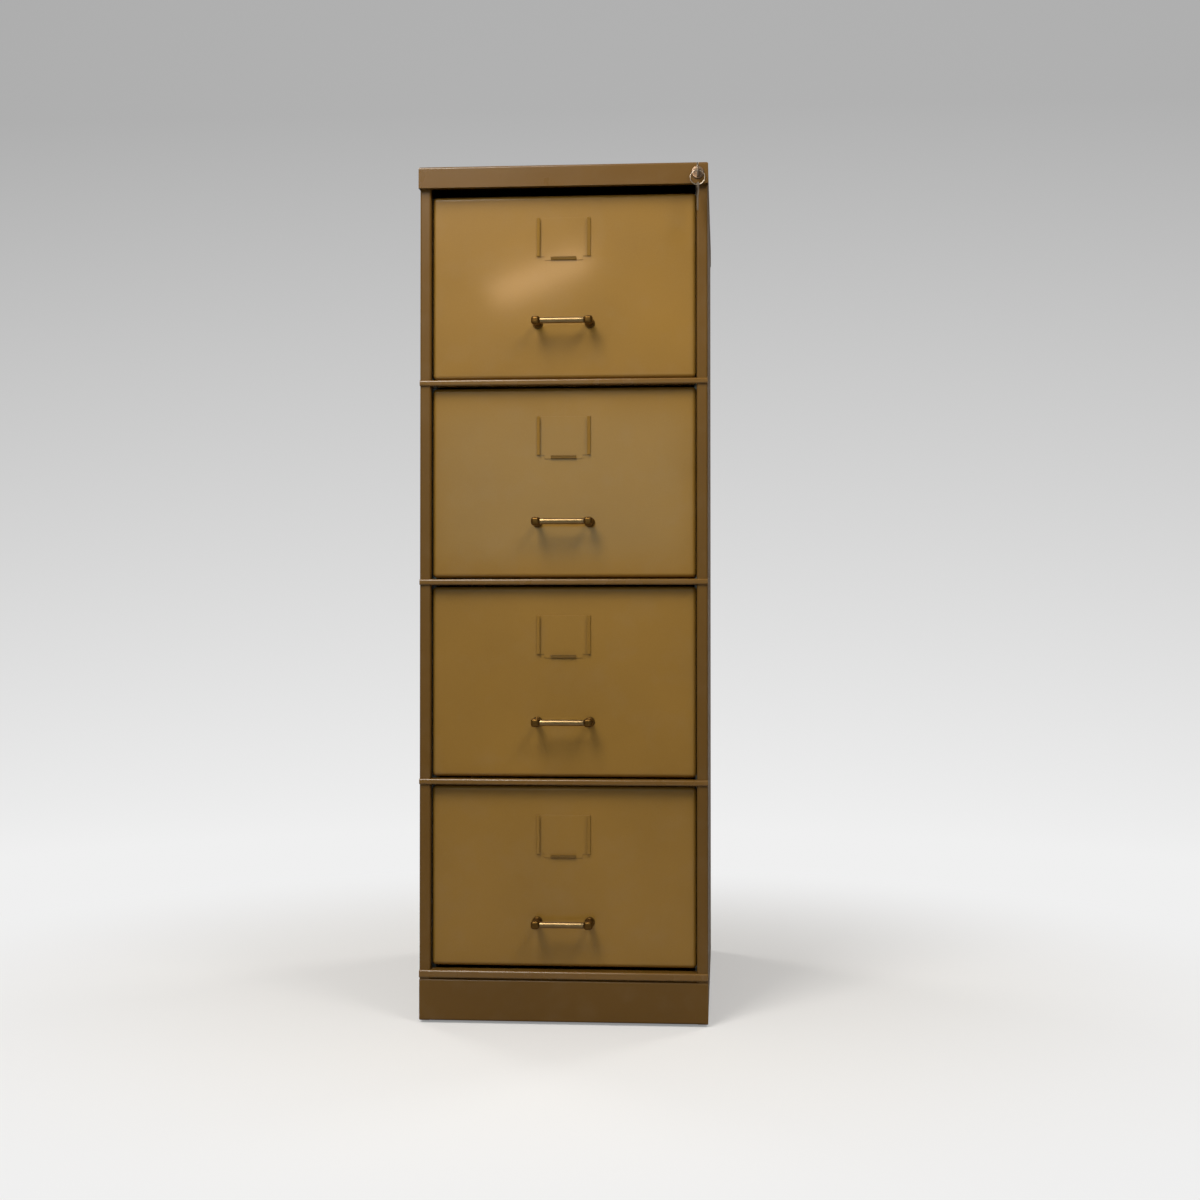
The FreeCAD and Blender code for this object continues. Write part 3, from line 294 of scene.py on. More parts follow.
def enamel(name, tone, roughness=0.34, chipped=False, gloss=0.06):
    """Stoved enamel on steel sheet: slightly uneven colour, orange peel, faint waves and fine rub marks."""
    material, tree, shader, place = blank_finish(name)
    cloud = map_range(tree, noise(tree, place, per_metre=5.0, detail=4.0), NOISE_MIDDLE, (0.0, 1.0))
    colour = mix_colours(tree, cloud, shade(tone, 0.93), shade(tone, 1.07))
    grain = map_range(tree, noise(tree, place, per_metre=650.0, detail=2.0), NOISE_MIDDLE, (0.0, 0.16))
    colour = mix_colours(tree, grain, colour, shade(tone, 1.35))
    dust = map_range(tree, noise(tree, place, per_metre=24.0, detail=6.0), (0.5, 0.8), (0.0, 0.06))
    colour = mix_colours(tree, dust, colour, DUST_TONE)
    if chipped:
        bare = map_range(tree, noise(tree, place, per_metre=130.0, detail=5.0), (0.60, 0.66), (0.0, 0.85))
        colour = mix_colours(tree, bare, colour, BARE_STEEL_TONE)
    tree.links.new(colour, shader.inputs["Base Color"])
    rub_marks = noise(tree, place, per_metre=16.0, detail=5.0)
    rubbed = map_range(tree, rub_marks, NOISE_MIDDLE, (roughness - 0.04, roughness + 0.07))
    tree.links.new(rubbed, shader.inputs["Roughness"])
    waves = bump(tree, noise(tree, place, per_metre=4.0, detail=0.0), strength=0.30, distance=0.0030)
    orange_peel = noise(tree, place, per_metre=520.0, detail=2.0)
    peel = bump(tree, orange_peel, strength=0.12, distance=0.0003, previous=waves)
    tree.links.new(peel, shader.inputs["Normal"])
    shader.inputs["Specular IOR Level"].default_value = 0.3
    shader.inputs["Coat Weight"].default_value = gloss
    shader.inputs["Coat Roughness"].default_value = 0.10
    return material


def merged_copy(node):
    """The CAD node's mesh with its triangles joined and its flat faces whole again."""
    mesh = bmesh.new()
    mesh.from_mesh(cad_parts[node].data)
    bmesh.ops.remove_doubles(mesh, verts=mesh.verts, dist=SAME_SPOT)
    flat = math.radians(FLAT_BELOW)
    bmesh.ops.dissolve_limit(mesh, angle_limit=flat, verts=mesh.verts, edges=mesh.edges)
    for face in mesh.faces:
        face.material_index = 0
    return mesh


def break_edges(mesh, width, segments=2, edge_finish_index=0):
    """Rounds every sharp edge by a small width and gives the new faces the edge finish: on enamel a lighter
    painted highlight, chipped on some pieces.
    """
    least = math.radians(SHARP_ABOVE)
    sharp = [e for e in mesh.edges if len(e.link_faces) == 2 and e.calc_face_angle(0) > least]
    made = bmesh.ops.bevel(mesh, geom=sharp, offset=width, segments=segments, profile=0.5, affect="EDGES",
                           clamp_overlap=True)
    for face in made["faces"]:
        face.material_index = edge_finish_index


def finished(name, mesh, materials):
    """Turns a bmesh into an object with smooth shading that leaves its flat faces flat."""
    data = bpy.data.meshes.new(name)
    mesh.to_mesh(data)
    mesh.free()
    for material in materials:
        data.materials.append(material)
    data.shade_smooth()
    piece = bpy.data.objects.new(name, data)
    bpy.context.scene.collection.objects.link(piece)
    level_faces = piece.modifiers.new("level_faces", "WEIGHTED_NORMAL")
    level_faces.keep_sharp = True
    level_faces.weight = 100
    return piece


def broken_edge_piece(name, node, body, materials, width=BROKEN_EDGE, segments=2, rise=0.0):
    """A piece that stands for one CAD node, with its shape and softened edges; rise lifts its top."""
    mesh = merged_copy(node)
    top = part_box(node)[1].z
    for vert in mesh.verts:
        if vert.co.z > top - TOP_DEPTH:
            vert.co.z += rise
    break_edges(mesh, width, segments, len(materials) - 1)
    piece = finished(name, mesh, materials)
    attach(piece, body)
    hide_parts(node)
    return piece


carcass_enamel = enamel("carcass_enamel", CARCASS_TONE)
# The edge enamel is the carcass brown painted 12 % lighter, a painted highlight, with real chips of bare
# steel.
carcass_edge_enamel = enamel("carcass_edge_enamel", shade(CARCASS_TONE, 1.12), 0.40, chipped=True)
handled_enamel = enamel("handled_enamel", CARCASS_TONE, 0.30, gloss=0.30)
# The rails' enamel is the carcass brown painted a quarter lighter: a painted highlight.
rail_enamel = enamel("rail_enamel", shade(CARCASS_TONE, 1.25), 0.26, gloss=0.60)
for node, main_enamel in (
    ("top_cap", handled_enamel),
    ("cross_rails", rail_enamel),
    ("side_panel_left", carcass_enamel),
    ("side_panel_right", carcass_enamel),
    ("back_panel", carcass_enamel),
    ("floor_pan", carcass_enamel),
):
    broken_edge_piece(f"{node}_sheet", node, "cabinet", [main_enamel, carcass_edge_enamel])
broken_edge_piece("plinth_sheet", "plinth", "cabinet", [carcass_enamel, carcass_edge_enamel],
                  rise=PLINTH_RISE)

# Weld marks: the uprights are spot-welded to the side walls from inside, and each weld shows outside
# as a faint round mark under the enamel, in two rows on either side.
WELD_RADIUS = 0.0034
WELD_HEIGHT = 0.00012
WELD_PITCH = 0.105
WELD_COUNT = 12
WELD_ROW_SHIFT = 0.022
LOWEST_WELD_Z = 0.09
BUTTON_SEGMENTS = 20
BUTTON_RINGS = 10


def button_row_tree():
    """Geometry Nodes tree: flat round buttons in a row, each squashed along X."""
    tree = bpy.data.node_groups.new("button_row", "GeometryNodeTree")
    sockets = {}
    for label, kind in (
        ("Start", "NodeSocketVector"),
        ("Step", "NodeSocketVector"),
        ("Count", "NodeSocketInt"),
        ("Radius", "NodeSocketFloat"),
        ("Height", "NodeSocketFloat"),
        ("Finish", "NodeSocketMaterial"),
    ):
        sockets[label] = tree.interface.new_socket(label, in_out="INPUT", socket_type=kind).identifier
    tree.interface.new_socket("Geometry", in_out="OUTPUT", socket_type="NodeSocketGeometry")
    given = tree.nodes.new("NodeGroupInput")
    line = tree.nodes.new("GeometryNodeMeshLine")
    line.mode = "OFFSET"
    ball = tree.nodes.new("GeometryNodeMeshUVSphere")
    ball.inputs["Segments"].default_value = BUTTON_SEGMENTS
    ball.inputs["Rings"].default_value = BUTTON_RINGS
    ball.inputs["Radius"].default_value = 1.0
    squash = tree.nodes.new("ShaderNodeCombineXYZ")
    shape = tree.nodes.new("GeometryNodeTransform")
    spread = tree.nodes.new("GeometryNodeInstanceOnPoints")
    real = tree.nodes.new("GeometryNodeRealizeInstances")
    smooth = tree.nodes.new("GeometryNodeSetShadeSmooth")
    finish = tree.nodes.new("GeometryNodeSetMaterial")
    result = tree.nodes.new("NodeGroupOutput")
    join = tree.links.new
    join(given.outputs["Start"], line.inputs["Start Location"])
    join(given.outputs["Step"], line.inputs["Offset"])
    join(given.outputs["Count"], line.inputs["Count"])
    join(given.outputs["Height"], squash.inputs["X"])
    join(given.outputs["Radius"], squash.inputs["Y"])
    join(given.outputs["Radius"], squash.inputs["Z"])
    join(ball.outputs["Mesh"], shape.inputs["Geometry"])
    join(squash.outputs["Vector"], shape.inputs["Scale"])
    join(line.outputs["Mesh"], spread.inputs["Points"])
    join(shape.outputs["Geometry"], spread.inputs["Instance"])
    join(spread.outputs["Instances"], real.inputs["Geometry"])
    join(real.outputs["Geometry"], smooth.inputs["Geometry"])
    join(smooth.outputs["Geometry"], finish.inputs["Geometry"])
    join(given.outputs["Finish"], finish.inputs["Material"])
    join(finish.outputs["Geometry"], result.inputs["Geometry"])
    return tree, sockets


button_row, button_row_sockets = button_row_tree()


def buttons(name, rows, radius, height, material):
    """One mesh of rows of buttons; a row is its first place, the step to the next, and their number."""
    whole = bmesh.new()
    for start, step, count in rows:
        maker = bpy.data.objects.new(f"{name}_maker", bpy.data.meshes.new(f"{name}_maker"))
        bpy.context.scene.collection.objects.link(maker)
        modifier = maker.modifiers.new("row", "NODES")
        modifier.node_group = button_row
        for label, value in (
            ("Start", start),
            ("Step", step),
            ("Count", count),
            ("Radius", radius),
            ("Height", height),
            ("Finish", material),
        ):
            modifier[button_row_sockets[label]] = value
        bpy.context.view_layer.update()
        shaped = maker.evaluated_get(bpy.context.evaluated_depsgraph_get())
        baked = bpy.data.meshes.new_from_object(shaped)
        maker.modifiers.remove(modifier)
        whole.from_mesh(baked)
        bpy.data.objects.remove(maker)
    data = bpy.data.meshes.new(name)
    whole.to_mesh(data)
    whole.free()
    data.materials.append(material)
    data.shade_smooth()
    piece = bpy.data.objects.new(name, data)
    bpy.context.scene.collection.objects.link(piece)
    return piece


upright_front_y = sum(corner.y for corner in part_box("front_uprights")) / 2
upright_rear_y = sum(corner.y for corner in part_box("rear_uprights")) / 2
side_face_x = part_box("side_panel_right")[1].x
weld_rows = [
    ((side * side_face_x, y + shift, LOWEST_WELD_Z), (0, 0, WELD_PITCH), WELD_COUNT)
    for side in (-1, 1)
    for y in (upright_front_y, upright_rear_y)
    for shift in (-WELD_ROW_SHIFT, WELD_ROW_SHIFT)
]
weld_marks = buttons("weld_marks", weld_rows, WELD_RADIUS, WELD_HEIGHT, carcass_enamel)
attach(weld_marks, "cabinet")

# Drawer fronts: pans pressed from one sheet, with generously rounded edges and corners, in tan enamel.
# The painted liner closes each pan from behind. The pans are shown 2 mm larger at each rim than their
# solids, which keep the running clearance, and the lowest hangs 3 mm further down.
DRAWERS = (1, 2, 3, 4)
LOWEST_DRAWER = DRAWERS[-1]
FRONT_TONE = (0.284, 0.154, 0.026)
PAN_RADIUS = 0.0065
PAN_SEGMENTS = 6
PAN_WALL = 0.001
PAN_SPREAD = Vector((0.002, 0, 0.002))
LOWEST_PAN_DROP = 0.003
RIM_DEPTH = 1e-9
THIN_BROKEN_EDGE = 0.0002

front_enamel = enamel("front_enamel", FRONT_TONE, 0.36, gloss=0.42)
# The edge enamels are painted a little lighter than the faces they border, a painted highlight on the broken
# edges; on the trays they are chipped as well.
front_edge_enamel = enamel("front_edge_enamel", shade(FRONT_TONE, 1.05), 0.34)
tray_enamel = enamel("tray_enamel", shade(CARCASS_TONE, 0.95), 0.42)
tray_edge_enamel = enamel("tray_edge_enamel", shade(CARCASS_TONE, 1.1), 0.46, chipped=True)


def add_pan_face(mesh, low, high, radius):
    """Adds one face of the pan's sheet: a box open at the rear, with its other edges and corners rounded."""
    box = bmesh.new()
    corners = [(x, y, z) for x in (low.x, high.x) for y in (low.y, high.y) for z in (low.z, high.z)]
    verts = [box.verts.new(corner) for corner in corners]
    for face in ((0, 1, 3, 2), (4, 6, 7, 5), (0, 4, 5, 1), (2, 3, 7, 6), (0, 2, 6, 4), (1, 5, 7, 3)):
        box.faces.new([verts[index] for index in face])
    bmesh.ops.recalc_face_normals(box, faces=box.faces)
    rear = [f for f in box.faces if all(abs(v.co.y - high.y) < RIM_DEPTH for v in f.verts)]
    rounded = [e for e in box.edges if not all(abs(v.co.y - high.y) < RIM_DEPTH for v in e.verts)]
    bmesh.ops.delete(box, geom=rear, context="FACES_ONLY")
    bmesh.ops.bevel(box, geom=rounded, offset=radius, segments=PAN_SEGMENTS, profile=0.5, affect="EDGES")
    data = bpy.data.meshes.new("shell")
    box.to_mesh(data)
    box.free()
    mesh.from_mesh(data)
    bpy.data.meshes.remove(data)


for drawer in DRAWERS:
    body = f"drawer_{drawer}"
    low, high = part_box(f"front_panel_{drawer}")
    low, high = low - PAN_SPREAD, high + PAN_SPREAD
    if drawer == LOWEST_DRAWER:
        low.z -= LOWEST_PAN_DROP
    pan = bmesh.new()
    add_pan_face(pan, low, high, PAN_RADIUS)
    inner_low = low + Vector((PAN_WALL, PAN_WALL, PAN_WALL))
    inner_high = high - Vector((PAN_WALL, 0, PAN_WALL))
    add_pan_face(pan, inner_low, inner_high, PAN_RADIUS - PAN_WALL)
    bmesh.ops.bridge_loops(pan, edges=[e for e in pan.edges if len(e.link_faces) == 1])
    bmesh.ops.recalc_face_normals(pan, faces=pan.faces)
    front = finished(f"front_pan_{drawer}", pan, [front_enamel])
    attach(front, body)
    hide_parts(f"front_panel_{drawer}")
    broken_edge_piece(f"front_liner_sheet_{drawer}", f"front_liner_{drawer}", body,
                      [tray_enamel, tray_edge_enamel], THIN_BROKEN_EDGE)

# Drawer bodies: floor and sides folded from one sheet with rolled rims, and a lower back, in the
# carcass's brown. The slides are riveted through the sides, and the lock's catch is welded outside.
RIVET_RADIUS = 0.0042
RIVET_HEIGHT = 0.0012
RIVET_COUNT = 5
RIVET_STEP = 0.118
RIVET_SINK = 0.0009
FIRST_RIVET = 0.035
CRYSTALS_PER_METRE = 90.0


def steel(name, tone, roughness, brushed=(1, 1, 1), spangle=0.0):
    """Bare or plated steel: brushed or rolled grain, dull patches and, on zinc, a pattern of crystals."""
    material, tree, shader, place = blank_finish(name)
    shader.inputs["Metallic"].default_value = 1.0
    dull = map_range(tree, noise(tree, place, per_metre=40.0, detail=5.0), NOISE_MIDDLE, (0.0, 1.0))
    colour = mix_colours(tree, dull, shade(tone, 0.86), shade(tone, 1.08))
    if spangle:
        cells = add_node(tree, "ShaderNodeTexVoronoi", scale=CRYSTALS_PER_METRE)
        tree.links.new(place, cells.inputs["Vector"])
        flake = add_node(tree, "ShaderNodeRGBToBW")
        tree.links.new(cells.outputs["Color"], flake.inputs["Color"])
        amount = map_range(tree, flake.outputs["Val"], (0.2, 0.8), (0.0, spangle))
        colour = mix_colours(tree, amount, colour, shade(tone, 1.3))
    tree.links.new(colour, shader.inputs["Base Color"])
    grain = noise(tree, place, per_metre=900.0, detail=2.0, stretch=brushed)
    rough = map_range(tree, grain, NOISE_MIDDLE, (roughness - 0.05, roughness + 0.08))
    tree.links.new(rough, shader.inputs["Roughness"])
    tree.links.new(bump(tree, grain, strength=0.12, distance=0.0001), shader.inputs["Normal"])
    return material


zinc_sheet = steel("zinc_sheet", (0.52, 0.52, 0.50), 0.42, spangle=0.5)
slide_zinc = steel("slide_zinc", (0.62, 0.62, 0.61), 0.28, brushed=(1, 0.04, 1))
screw_zinc = steel("screw_zinc", (0.55, 0.54, 0.50), 0.33)

for drawer in DRAWERS:
    body = f"drawer_{drawer}"
    broken_edge_piece(f"tray_sheet_{drawer}", f"tray_{drawer}", body,
                      [tray_enamel, tray_edge_enamel], THIN_BROKEN_EDGE)
    broken_edge_piece(f"lock_catch_angle_{drawer}", f"lock_catch_{drawer}", body,
                      [slide_zinc], THIN_BROKEN_EDGE)
    wall_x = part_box(f"tray_{drawer}")[1].x
    slide_low, slide_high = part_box(f"inner_slides_{drawer}")
    slide_z = (slide_low.z + slide_high.z) / 2
    rivet_rows = [
        ((side * (wall_x - RIVET_SINK), slide_low.y + FIRST_RIVET, slide_z), (0, RIVET_STEP, 0), RIVET_COUNT)
        for side in (-1, 1)
    ]
    rivets = buttons(f"slide_rivets_{drawer}", rivet_rows, RIVET_RADIUS, RIVET_HEIGHT, screw_zinc)
    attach(rivets, body)

# Three-part slides of rolled, zinc-plated steel, one pair to a drawer, on hat-shaped uprights of
# galvanised sheet that are spot-welded to the side walls.
SLIDE_BROKEN_EDGE = 0.00025

for node, slot, material in (
    ("outer_slides", "slide_steel", slide_zinc),
    ("front_uprights", "galvanised_steel", zinc_sheet),
    ("rear_uprights", "galvanised_steel", zinc_sheet),
):
    broken_edge_piece(f"{node}_metal", node, "cabinet", [material], SLIDE_BROKEN_EDGE)
for drawer in DRAWERS:
    for part, body in (("inner", f"drawer_{drawer}"), ("middle", f"middle_slide_pair_{drawer}")):
        broken_edge_piece(f"{part}_slide_metal_{drawer}", f"{part}_slides_{drawer}", body,
                          [slide_zinc], SLIDE_BROKEN_EDGE)

# Handles: a polished bar held between two dark bronzed posts with rounded heads, each fixed from
# inside the front by a hexagon screw with its washer.
FOOT_RADIUS = 0.008
FOOT_THICKNESS = 0.0018
FOOT_ROUNDING = 0.0008
STEM_RADIUS = 0.005
STEM_FILLET = 0.0016
STEM_TAPER = 0.94
STEM_END = 0.004
STEM_TIP = 0.003
HEAD_SIZE = 0.013
HEAD_ROUNDING = 0.0042
BAR_CHAMFER = 0.0005
BAR_STEPS = 12
THREAD_TURNS = 20
THREAD_CREST = 0.0025
THREAD_ROOT = 0.0021
THREAD_TIP = 0.0018
THREAD_SINK = 0.0002
WASHER_RADIUS = 0.0046
WASHER_THICKNESS = 0.0009
WASHER_ROUNDING = 0.0002
HEXAGON_RADIUS = 0.0043
HEXAGON_TOP_RADIUS = 0.0038
HEXAGON_CHAMFER = 0.0004
SCREW_BROKEN_EDGE = 0.0001


def lathe(mesh, profile, centre, axis="y", segments=40):
    """Adds a closed turned shape; the profile is a list of (radius, place along the axis)."""
    rings = []
    for radius, along in profile:
        ring = []
        for step in range(segments if radius > 0 else 1):
            angle = 2 * math.pi * step / segments
            u, v = radius * math.cos(angle), radius * math.sin(angle)
            offset = (u, along, v) if axis == "y" else (along, u, v)
            ring.append(mesh.verts.new(Vector(centre) + Vector(offset)))
        rings.append(ring)
    for first, second in zip(rings, rings[1:]):
        for step in range(segments):
            after = (step + 1) % segments
            corners = [first[step % len(first)], first[after % len(first)],
                       second[after % len(second)], second[step % len(second)]]
            unique = list(dict.fromkeys(corners))
            if len(unique) > 2:
                mesh.faces.new(unique)


def arc(centre, radius, start, end, steps):
    """Points on an arc in a lathe profile, from one angle to another in degrees."""
    spots = []
    for step in range(steps + 1):
        angle = math.radians(start + (end - start) * step / steps)
        spots.append((centre[0] + radius * math.cos(angle), centre[1] + radius * math.sin(angle)))
    return spots


def polished(name, tone, roughness):
    """Bright plating that use has dulled in patches, with very fine rub marks."""
    material, tree, shader, place = blank_finish(name)
    shader.inputs["Metallic"].default_value = 1.0
    worn = map_range(tree, noise(tree, place, per_metre=60.0, detail=5.0), NOISE_MIDDLE, (0.0, 1.0))
    tree.links.new(mix_colours(tree, worn, shade(tone, 0.84), shade(tone, 1.05)), shader.inputs["Base Color"])
    dull_patches = noise(tree, place, per_metre=110.0, detail=4.0)
    rubbed = map_range(tree, dull_patches, NOISE_MIDDLE, (roughness - 0.02, roughness + 0.03))
    tree.links.new(rubbed, shader.inputs["Roughness"])
    rub_marks = noise(tree, place, per_metre=900.0, detail=2.0)
    tree.links.new(bump(tree, rub_marks, strength=0.02, distance=0.0001), shader.inputs["Normal"])
    return material


def add_post(mesh, x, face_y, bar_y, middle_z, head_width):
    """Adds one post: a foot and a stem, turned in one, and a rounded head that holds the bar's end."""
    stem = [(0.0, 0.0), (FOOT_RADIUS, 0.0)]
    stem += arc((FOOT_RADIUS - FOOT_ROUNDING, FOOT_ROUNDING - FOOT_THICKNESS), FOOT_ROUNDING, 0, -90, steps=4)
    stem += arc((STEM_RADIUS + STEM_FILLET, -FOOT_THICKNESS - STEM_FILLET), STEM_FILLET, 90, 180, steps=5)
    stem += [(STEM_RADIUS * STEM_TAPER, bar_y - face_y + STEM_END), (0.0, bar_y - face_y + STEM_TIP)]
    lathe(mesh, stem, (x, face_y, middle_z))
    head = bmesh.ops.create_cube(mesh, size=1.0)["verts"]
    size = Vector((head_width, HEAD_SIZE, HEAD_SIZE))
    for vert in head:
        vert.co = Vector((x, bar_y, middle_z)) + Vector(a * b for a, b in zip(vert.co, size))
    edges = list(dict.fromkeys(edge for vert in head for edge in vert.link_edges))
    bmesh.ops.bevel(mesh, geom=edges, offset=HEAD_ROUNDING, segments=5, profile=0.5, affect="EDGES")


def add_screw(mesh, centre, length, head_top):
    """Adds one screw: a threaded shank that points forward, a washer and a hexagon head."""
    shank = [(0.0, THREAD_SINK)]
    for turn in range(THREAD_TURNS):
        shank.append((THREAD_CREST, -length * turn / THREAD_TURNS))
        shank.append((THREAD_ROOT, -length * (turn + 0.5) / THREAD_TURNS))
    shank += [(THREAD_TIP, -length), (0.0, -length)]
    lathe(mesh, shank, centre, segments=16)
    washer = [
        (0.0, 0.0),
        (WASHER_RADIUS - WASHER_ROUNDING / 2, 0.0),
        (WASHER_RADIUS, WASHER_ROUNDING),
        (WASHER_RADIUS, WASHER_THICKNESS - WASHER_ROUNDING),
        (WASHER_RADIUS - WASHER_ROUNDING, WASHER_THICKNESS),
        (0.0, WASHER_THICKNESS),
    ]
    lathe(mesh, washer, centre, segments=32)
    hexagon = [
        (0.0, WASHER_THICKNESS),
        (HEXAGON_RADIUS, WASHER_THICKNESS),
        (HEXAGON_RADIUS, head_top - HEXAGON_CHAMFER),
        (HEXAGON_TOP_RADIUS, head_top),
        (0.0, head_top),
    ]
    lathe(mesh, hexagon, centre, segments=6)


bar_plating = polished("bar_plating", (0.33, 0.22, 0.10), 0.32)
post_bronze = polished("post_bronze", (0.17, 0.088, 0.022), 0.42)

for drawer in DRAWERS:
    body = f"drawer_{drawer}"
    post_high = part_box(f"handle_posts_{drawer}")[1]
    bar_low, bar_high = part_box(f"handle_bar_{drawer}")
    middle_z = (bar_low.z + bar_high.z) / 2
    bar_y = (bar_low.y + bar_high.y) / 2
    bar_radius = (bar_high.z - bar_low.z) / 2
    head_width = post_high.x - bar_high.x
    post_x = bar_high.x + head_width / 2
    face_y = post_high.y
    posts = bmesh.new()
    for side in (-1, 1):
        add_post(posts, side * post_x, face_y, bar_y, middle_z, head_width)
    bmesh.ops.recalc_face_normals(posts, faces=posts.faces)
    piece = finished(f"handle_post_pair_{drawer}", posts, [post_bronze])
    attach(piece, body)
    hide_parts(f"handle_posts_{drawer}")

    bar = bmesh.new()
    half = bar_high.x
    outline = [(0.0, -half), (bar_radius - BAR_CHAMFER, -half), (bar_radius, -half + BAR_CHAMFER)]
    outline += [(bar_radius, -half * (1 - 2 * step / BAR_STEPS)) for step in range(1, BAR_STEPS)]
    outline += [(bar_radius, half - BAR_CHAMFER), (bar_radius - BAR_CHAMFER, half), (0.0, half)]
    lathe(bar, outline, (0, bar_y, middle_z), axis="x", segments=48)
    bmesh.ops.recalc_face_normals(bar, faces=bar.faces)
    piece = finished(f"handle_rod_{drawer}", bar, [bar_plating])
    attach(piece, body)
    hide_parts(f"handle_bar_{drawer}")

    screw_low, screw_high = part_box(f"handle_screws_{drawer}")
    seat_y = face_y + PAN_WALL
    screws = bmesh.new()
    for side in (-1, 1):
        add_screw(screws, (side * post_x, seat_y, middle_z), seat_y - screw_low.y, screw_high.y - seat_y)
    bmesh.ops.recalc_face_normals(screws, faces=screws.faces)
    break_edges(screws, SCREW_BROKEN_EDGE, segments=1)
    piece = finished(f"hexagon_screw_pair_{drawer}", screws, [screw_zinc])
    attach(piece, body)
    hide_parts(f"handle_screws_{drawer}")

# Card holders: one thin sheet with a lip folded forward and back inwards on three sides, its free edges
# flared so that a card slips in from above. It is welded on before the enamel, so it has the front's tan.
HOLDER_SHEET = 0.0008
HOLDER_STAND = 0.0032
HOLDER_FLARE = 0.0022
HOLDER_BROKEN_EDGE = 0.00025
LIP_REACH = 0.0050
CREASE_INSET = 0.0012
CREASE_SHARE = 0.95
MIDDLE_SHARE = 1.12
OUTER_WALL_SHARE = 0.62
INNER_WALL_SHARE = 0.55
OUTER_BEND = 0.45
INNER_BEND = 0.35
LOWER_CORNER = 0.012
BOTTOM_LIP_INSET = 0.022


def add_lip(mesh, start, along, inward, forward):
    """Adds a lip that runs from a start along an edge of the sheet, standing forward and folded inwards."""
    stand, sheet_in, sheet_up = forward * HOLDER_STAND, inward * HOLDER_SHEET, forward * HOLDER_SHEET
    crease = inward * CREASE_INSET + stand * CREASE_SHARE
    middle = inward * LIP_REACH * 0.5 + stand * MIDDLE_SHARE
    tip = inward * LIP_REACH + forward * (HOLDER_STAND + HOLDER_FLARE)
    outer_face = [Vector(), stand * OUTER_WALL_SHARE, crease - sheet_in * OUTER_BEND, middle, tip]
    inner_face = [sheet_in, sheet_in + stand * INNER_WALL_SHARE, crease + sheet_in * INNER_BEND - sheet_up,
                  middle - sheet_up, tip - sheet_up]
    section = outer_face + inner_face[::-1]
    ends = [[mesh.verts.new(start + shift + spot) for spot in section] for shift in (Vector(), along)]
    count = len(section)
    for index in range(count):
        after = (index + 1) % count
        mesh.faces.new([ends[0][index], ends[0][after], ends[1][after], ends[1][index]])
    mesh.faces.new(ends[0][::-1])
    mesh.faces.new(ends[1])


right, up, forward = Vector((1, 0, 0)), Vector((0, 0, 1)), Vector((0, -1, 0))
for drawer in DRAWERS:
    low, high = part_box(f"card_holder_{drawer}")
    seat_y = high.y
    side_start = low.z + LOWER_CORNER / 2
    holder = bmesh.new()
    plate = [
        (low.x, side_start), (low.x + LOWER_CORNER, side_start),
        (low.x + LOWER_CORNER, low.z), (high.x - LOWER_CORNER, low.z),
        (high.x - LOWER_CORNER, side_start), (high.x, side_start),
        (high.x, high.z), (low.x, high.z),
    ]
    rear = [holder.verts.new((x, seat_y, z)) for x, z in plate]
    face = [holder.verts.new((x, seat_y - HOLDER_SHEET, z)) for x, z in plate]
    for index in range(len(plate)):
        after = (index + 1) % len(plate)
        holder.faces.new([rear[index], rear[after], face[after], face[index]])
    holder.faces.new(rear)
    holder.faces.new(face[::-1])
    side_run = up * (high.z - side_start)
    add_lip(holder, Vector((low.x, seat_y, side_start)), side_run, right, forward)
    add_lip(holder, Vector((high.x, seat_y, side_start)), side_run, -right, forward)
    bottom_run = right * (high.x - low.x - 2 * BOTTOM_LIP_INSET)
    add_lip(holder, Vector((low.x + BOTTOM_LIP_INSET, seat_y, low.z)), bottom_run, up, forward)
    bmesh.ops.recalc_face_normals(holder, faces=holder.faces)
    break_edges(holder, HOLDER_BROKEN_EDGE, edge_finish_index=1)
    piece = finished(f"card_holder_sheet_{drawer}", holder, [front_enamel, front_edge_enamel])
    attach(piece, f"drawer_{drawer}")
    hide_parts(f"card_holder_{drawer}")

# Cam lock in the fascia: a turned housing with a rounded flange, a plug with its keyway, and behind
# them the cam, the bar that it lifts, the bar's dogs and the guides that keep it upright.
BARREL_RADIUS = 0.008
BORE_RADIUS = 0.0055
BORE_CHAMFER = 0.0003
FLANGE_ROUNDING = 0.0009
GROOVE_INSIDE = 0.0072
GROOVE_OUTSIDE = 0.0079
GROOVE_DEPTH = 0.0002

lock_plating = polished("lock_plating", (0.50, 0.35, 0.24), 0.30)

flange_low, flange_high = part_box("lock_housing")
lock_x = (flange_low.x + flange_high.x) / 2
lock_z = (flange_low.z + flange_high.z) / 2
flange_radius = (flange_high.x - flange_low.x) / 2
barrel_end = flange_high.y - FASCIA_Y
flange_front = flange_low.y - FASCIA_Y
groove_floor = flange_front + GROOVE_DEPTH
turned = [
    (BORE_RADIUS, barrel_end),
    (BORE_RADIUS, flange_front + BORE_CHAMFER),
    (BORE_RADIUS + BORE_CHAMFER, flange_front),
    (GROOVE_INSIDE, flange_front),
    (GROOVE_INSIDE + GROOVE_DEPTH, groove_floor),
    (GROOVE_OUTSIDE - GROOVE_DEPTH, groove_floor),
    (GROOVE_OUTSIDE, flange_front),
]
rim_centre = (flange_radius - FLANGE_ROUNDING, flange_front + FLANGE_ROUNDING)
turned += arc(rim_centre, FLANGE_ROUNDING, -90, 0, steps=6)
turned += [(flange_radius, 0.0), (BARREL_RADIUS, 0.0), (BARREL_RADIUS, barrel_end), (BORE_RADIUS, barrel_end)]
housing = bmesh.new()
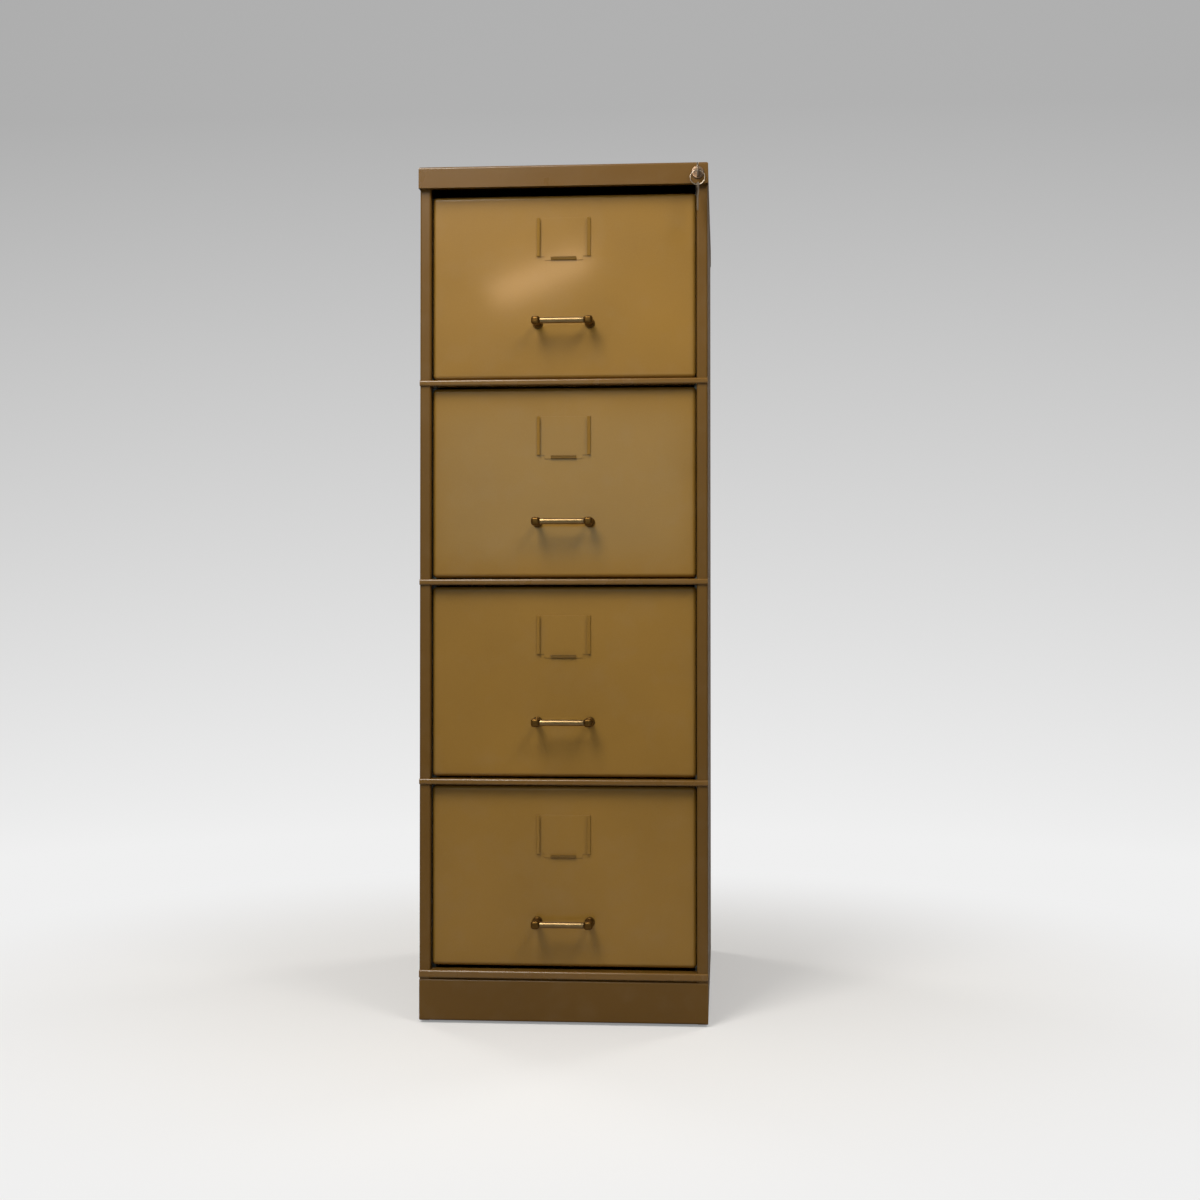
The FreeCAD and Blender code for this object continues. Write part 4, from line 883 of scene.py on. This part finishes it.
lathe(housing, turned, (lock_x, FASCIA_Y, lock_z), segments=64)
bmesh.ops.remove_doubles(housing, verts=housing.verts, dist=SAME_SPOT)
bmesh.ops.recalc_face_normals(housing, faces=housing.faces)
piece = finished("lock_housing_turned", housing, [lock_plating])
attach(piece, "cabinet")
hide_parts("lock_housing")

for node, body, slot, material in (
    ("lock_plug", "lock_cylinder", "lock_plating", lock_plating),
    ("lock_cam", "lock_cylinder", "lock_plating", lock_plating),
    ("lock_bar", "locking_bar", "slide_steel", slide_zinc),
    ("lock_bar_tabs", "locking_bar", "slide_steel", slide_zinc),
    ("lock_bar_guides", "cabinet", "slide_steel", slide_zinc),
):
    broken_edge_piece(f"{node}_metal", node, body, [material], THIN_BROKEN_EDGE)

# Keys: nickel-plated blanks with eight-sided bows, one in the plug and one on a split ring of
# sprung wire wound twice round. The wire crosses from one side of the ring to the other once.
KEY_BROKEN_EDGE = 0.00035
RING_TURNS = 2
RING_STEPS = 72
RING_INSET = 0.0008
WIRE_RADIAL = 0.00076
WIRE_ACROSS = 0.00038
WIRE_SIDES = 10
CROSSING_START = 0.8
CROSSING_LENGTH = 0.4
CROSSING_SHIFT = 0.0004

key_plating = polished("key_plating", (0.50, 0.42, 0.33), 0.32)
for node, body in (("key", "key_in_lock"), ("spare_key", "hanging_key")):
    broken_edge_piece(f"{node}_blank", node, body, [key_plating],
                      KEY_BROKEN_EDGE, segments=3)

ring_low, ring_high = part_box("key_ring")
ring_centre = (ring_low + ring_high) / 2
ring_radius = (ring_high.z - ring_low.z) / 2 - RING_INSET
coil = bmesh.new()
sections = []
for step in range(RING_TURNS * RING_STEPS + 1):
    along = step / RING_STEPS
    turn = 2 * math.pi * along
    part = min(1.0, max(0.0, (along - CROSSING_START) / CROSSING_LENGTH))
    shift = (part * part * (3 - 2 * part) - 0.5) * 2 * CROSSING_SHIFT
    outward = Vector((math.sin(turn), 0, math.cos(turn)))
    section = []
    for corner in range(WIRE_SIDES):
        angle = 2 * math.pi * corner / WIRE_SIDES
        spot = ring_centre + outward * (ring_radius + WIRE_RADIAL * math.cos(angle))
        section.append(coil.verts.new(spot + Vector((0, shift + WIRE_ACROSS * math.sin(angle), 0))))
    sections.append(section)
for first, second in zip(sections, sections[1:]):
    for corner in range(WIRE_SIDES):
        after = (corner + 1) % WIRE_SIDES
        coil.faces.new([first[corner], first[after], second[after], second[corner]])
coil.faces.new(sections[0][::-1])
coil.faces.new(sections[-1])
bmesh.ops.recalc_face_normals(coil, faces=coil.faces)
piece = finished("split_ring", coil, [key_plating])
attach(piece, "ring")
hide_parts("key_ring")

# Levelling feet: low hexagonal pads of black nylon under the side walls' bottom flanges. They are
# moulded, with a matt grain, and the floor has scuffed them.
NYLON_TONE = (0.018, 0.018, 0.018)
SCUFF_TONE = (0.10, 0.10, 0.095)
FOOT_BROKEN_EDGE = 0.0005


def scuffed_nylon(name):
    """Moulded black nylon with a matt grain, and grey where it is scuffed."""
    material, tree, shader, place = blank_finish(name)
    scuffs = map_range(tree, noise(tree, place, per_metre=180.0, detail=5.0), (0.5, 0.75), (0.0, 0.5))
    tree.links.new(mix_colours(tree, scuffs, NYLON_TONE, SCUFF_TONE), shader.inputs["Base Color"])
    rough = map_range(tree, noise(tree, place, per_metre=400.0, detail=3.0), NOISE_MIDDLE, (0.45, 0.65))
    tree.links.new(rough, shader.inputs["Roughness"])
    grain = noise(tree, place, per_metre=1400.0, detail=2.0)
    tree.links.new(bump(tree, grain, strength=0.2, distance=0.0001), shader.inputs["Normal"])
    return material


black_nylon = scuffed_nylon("black_nylon")
broken_edge_piece("levelling_foot_pads", "levelling_feet", "cabinet", [black_nylon],
                  FOOT_BROKEN_EDGE, segments=3)
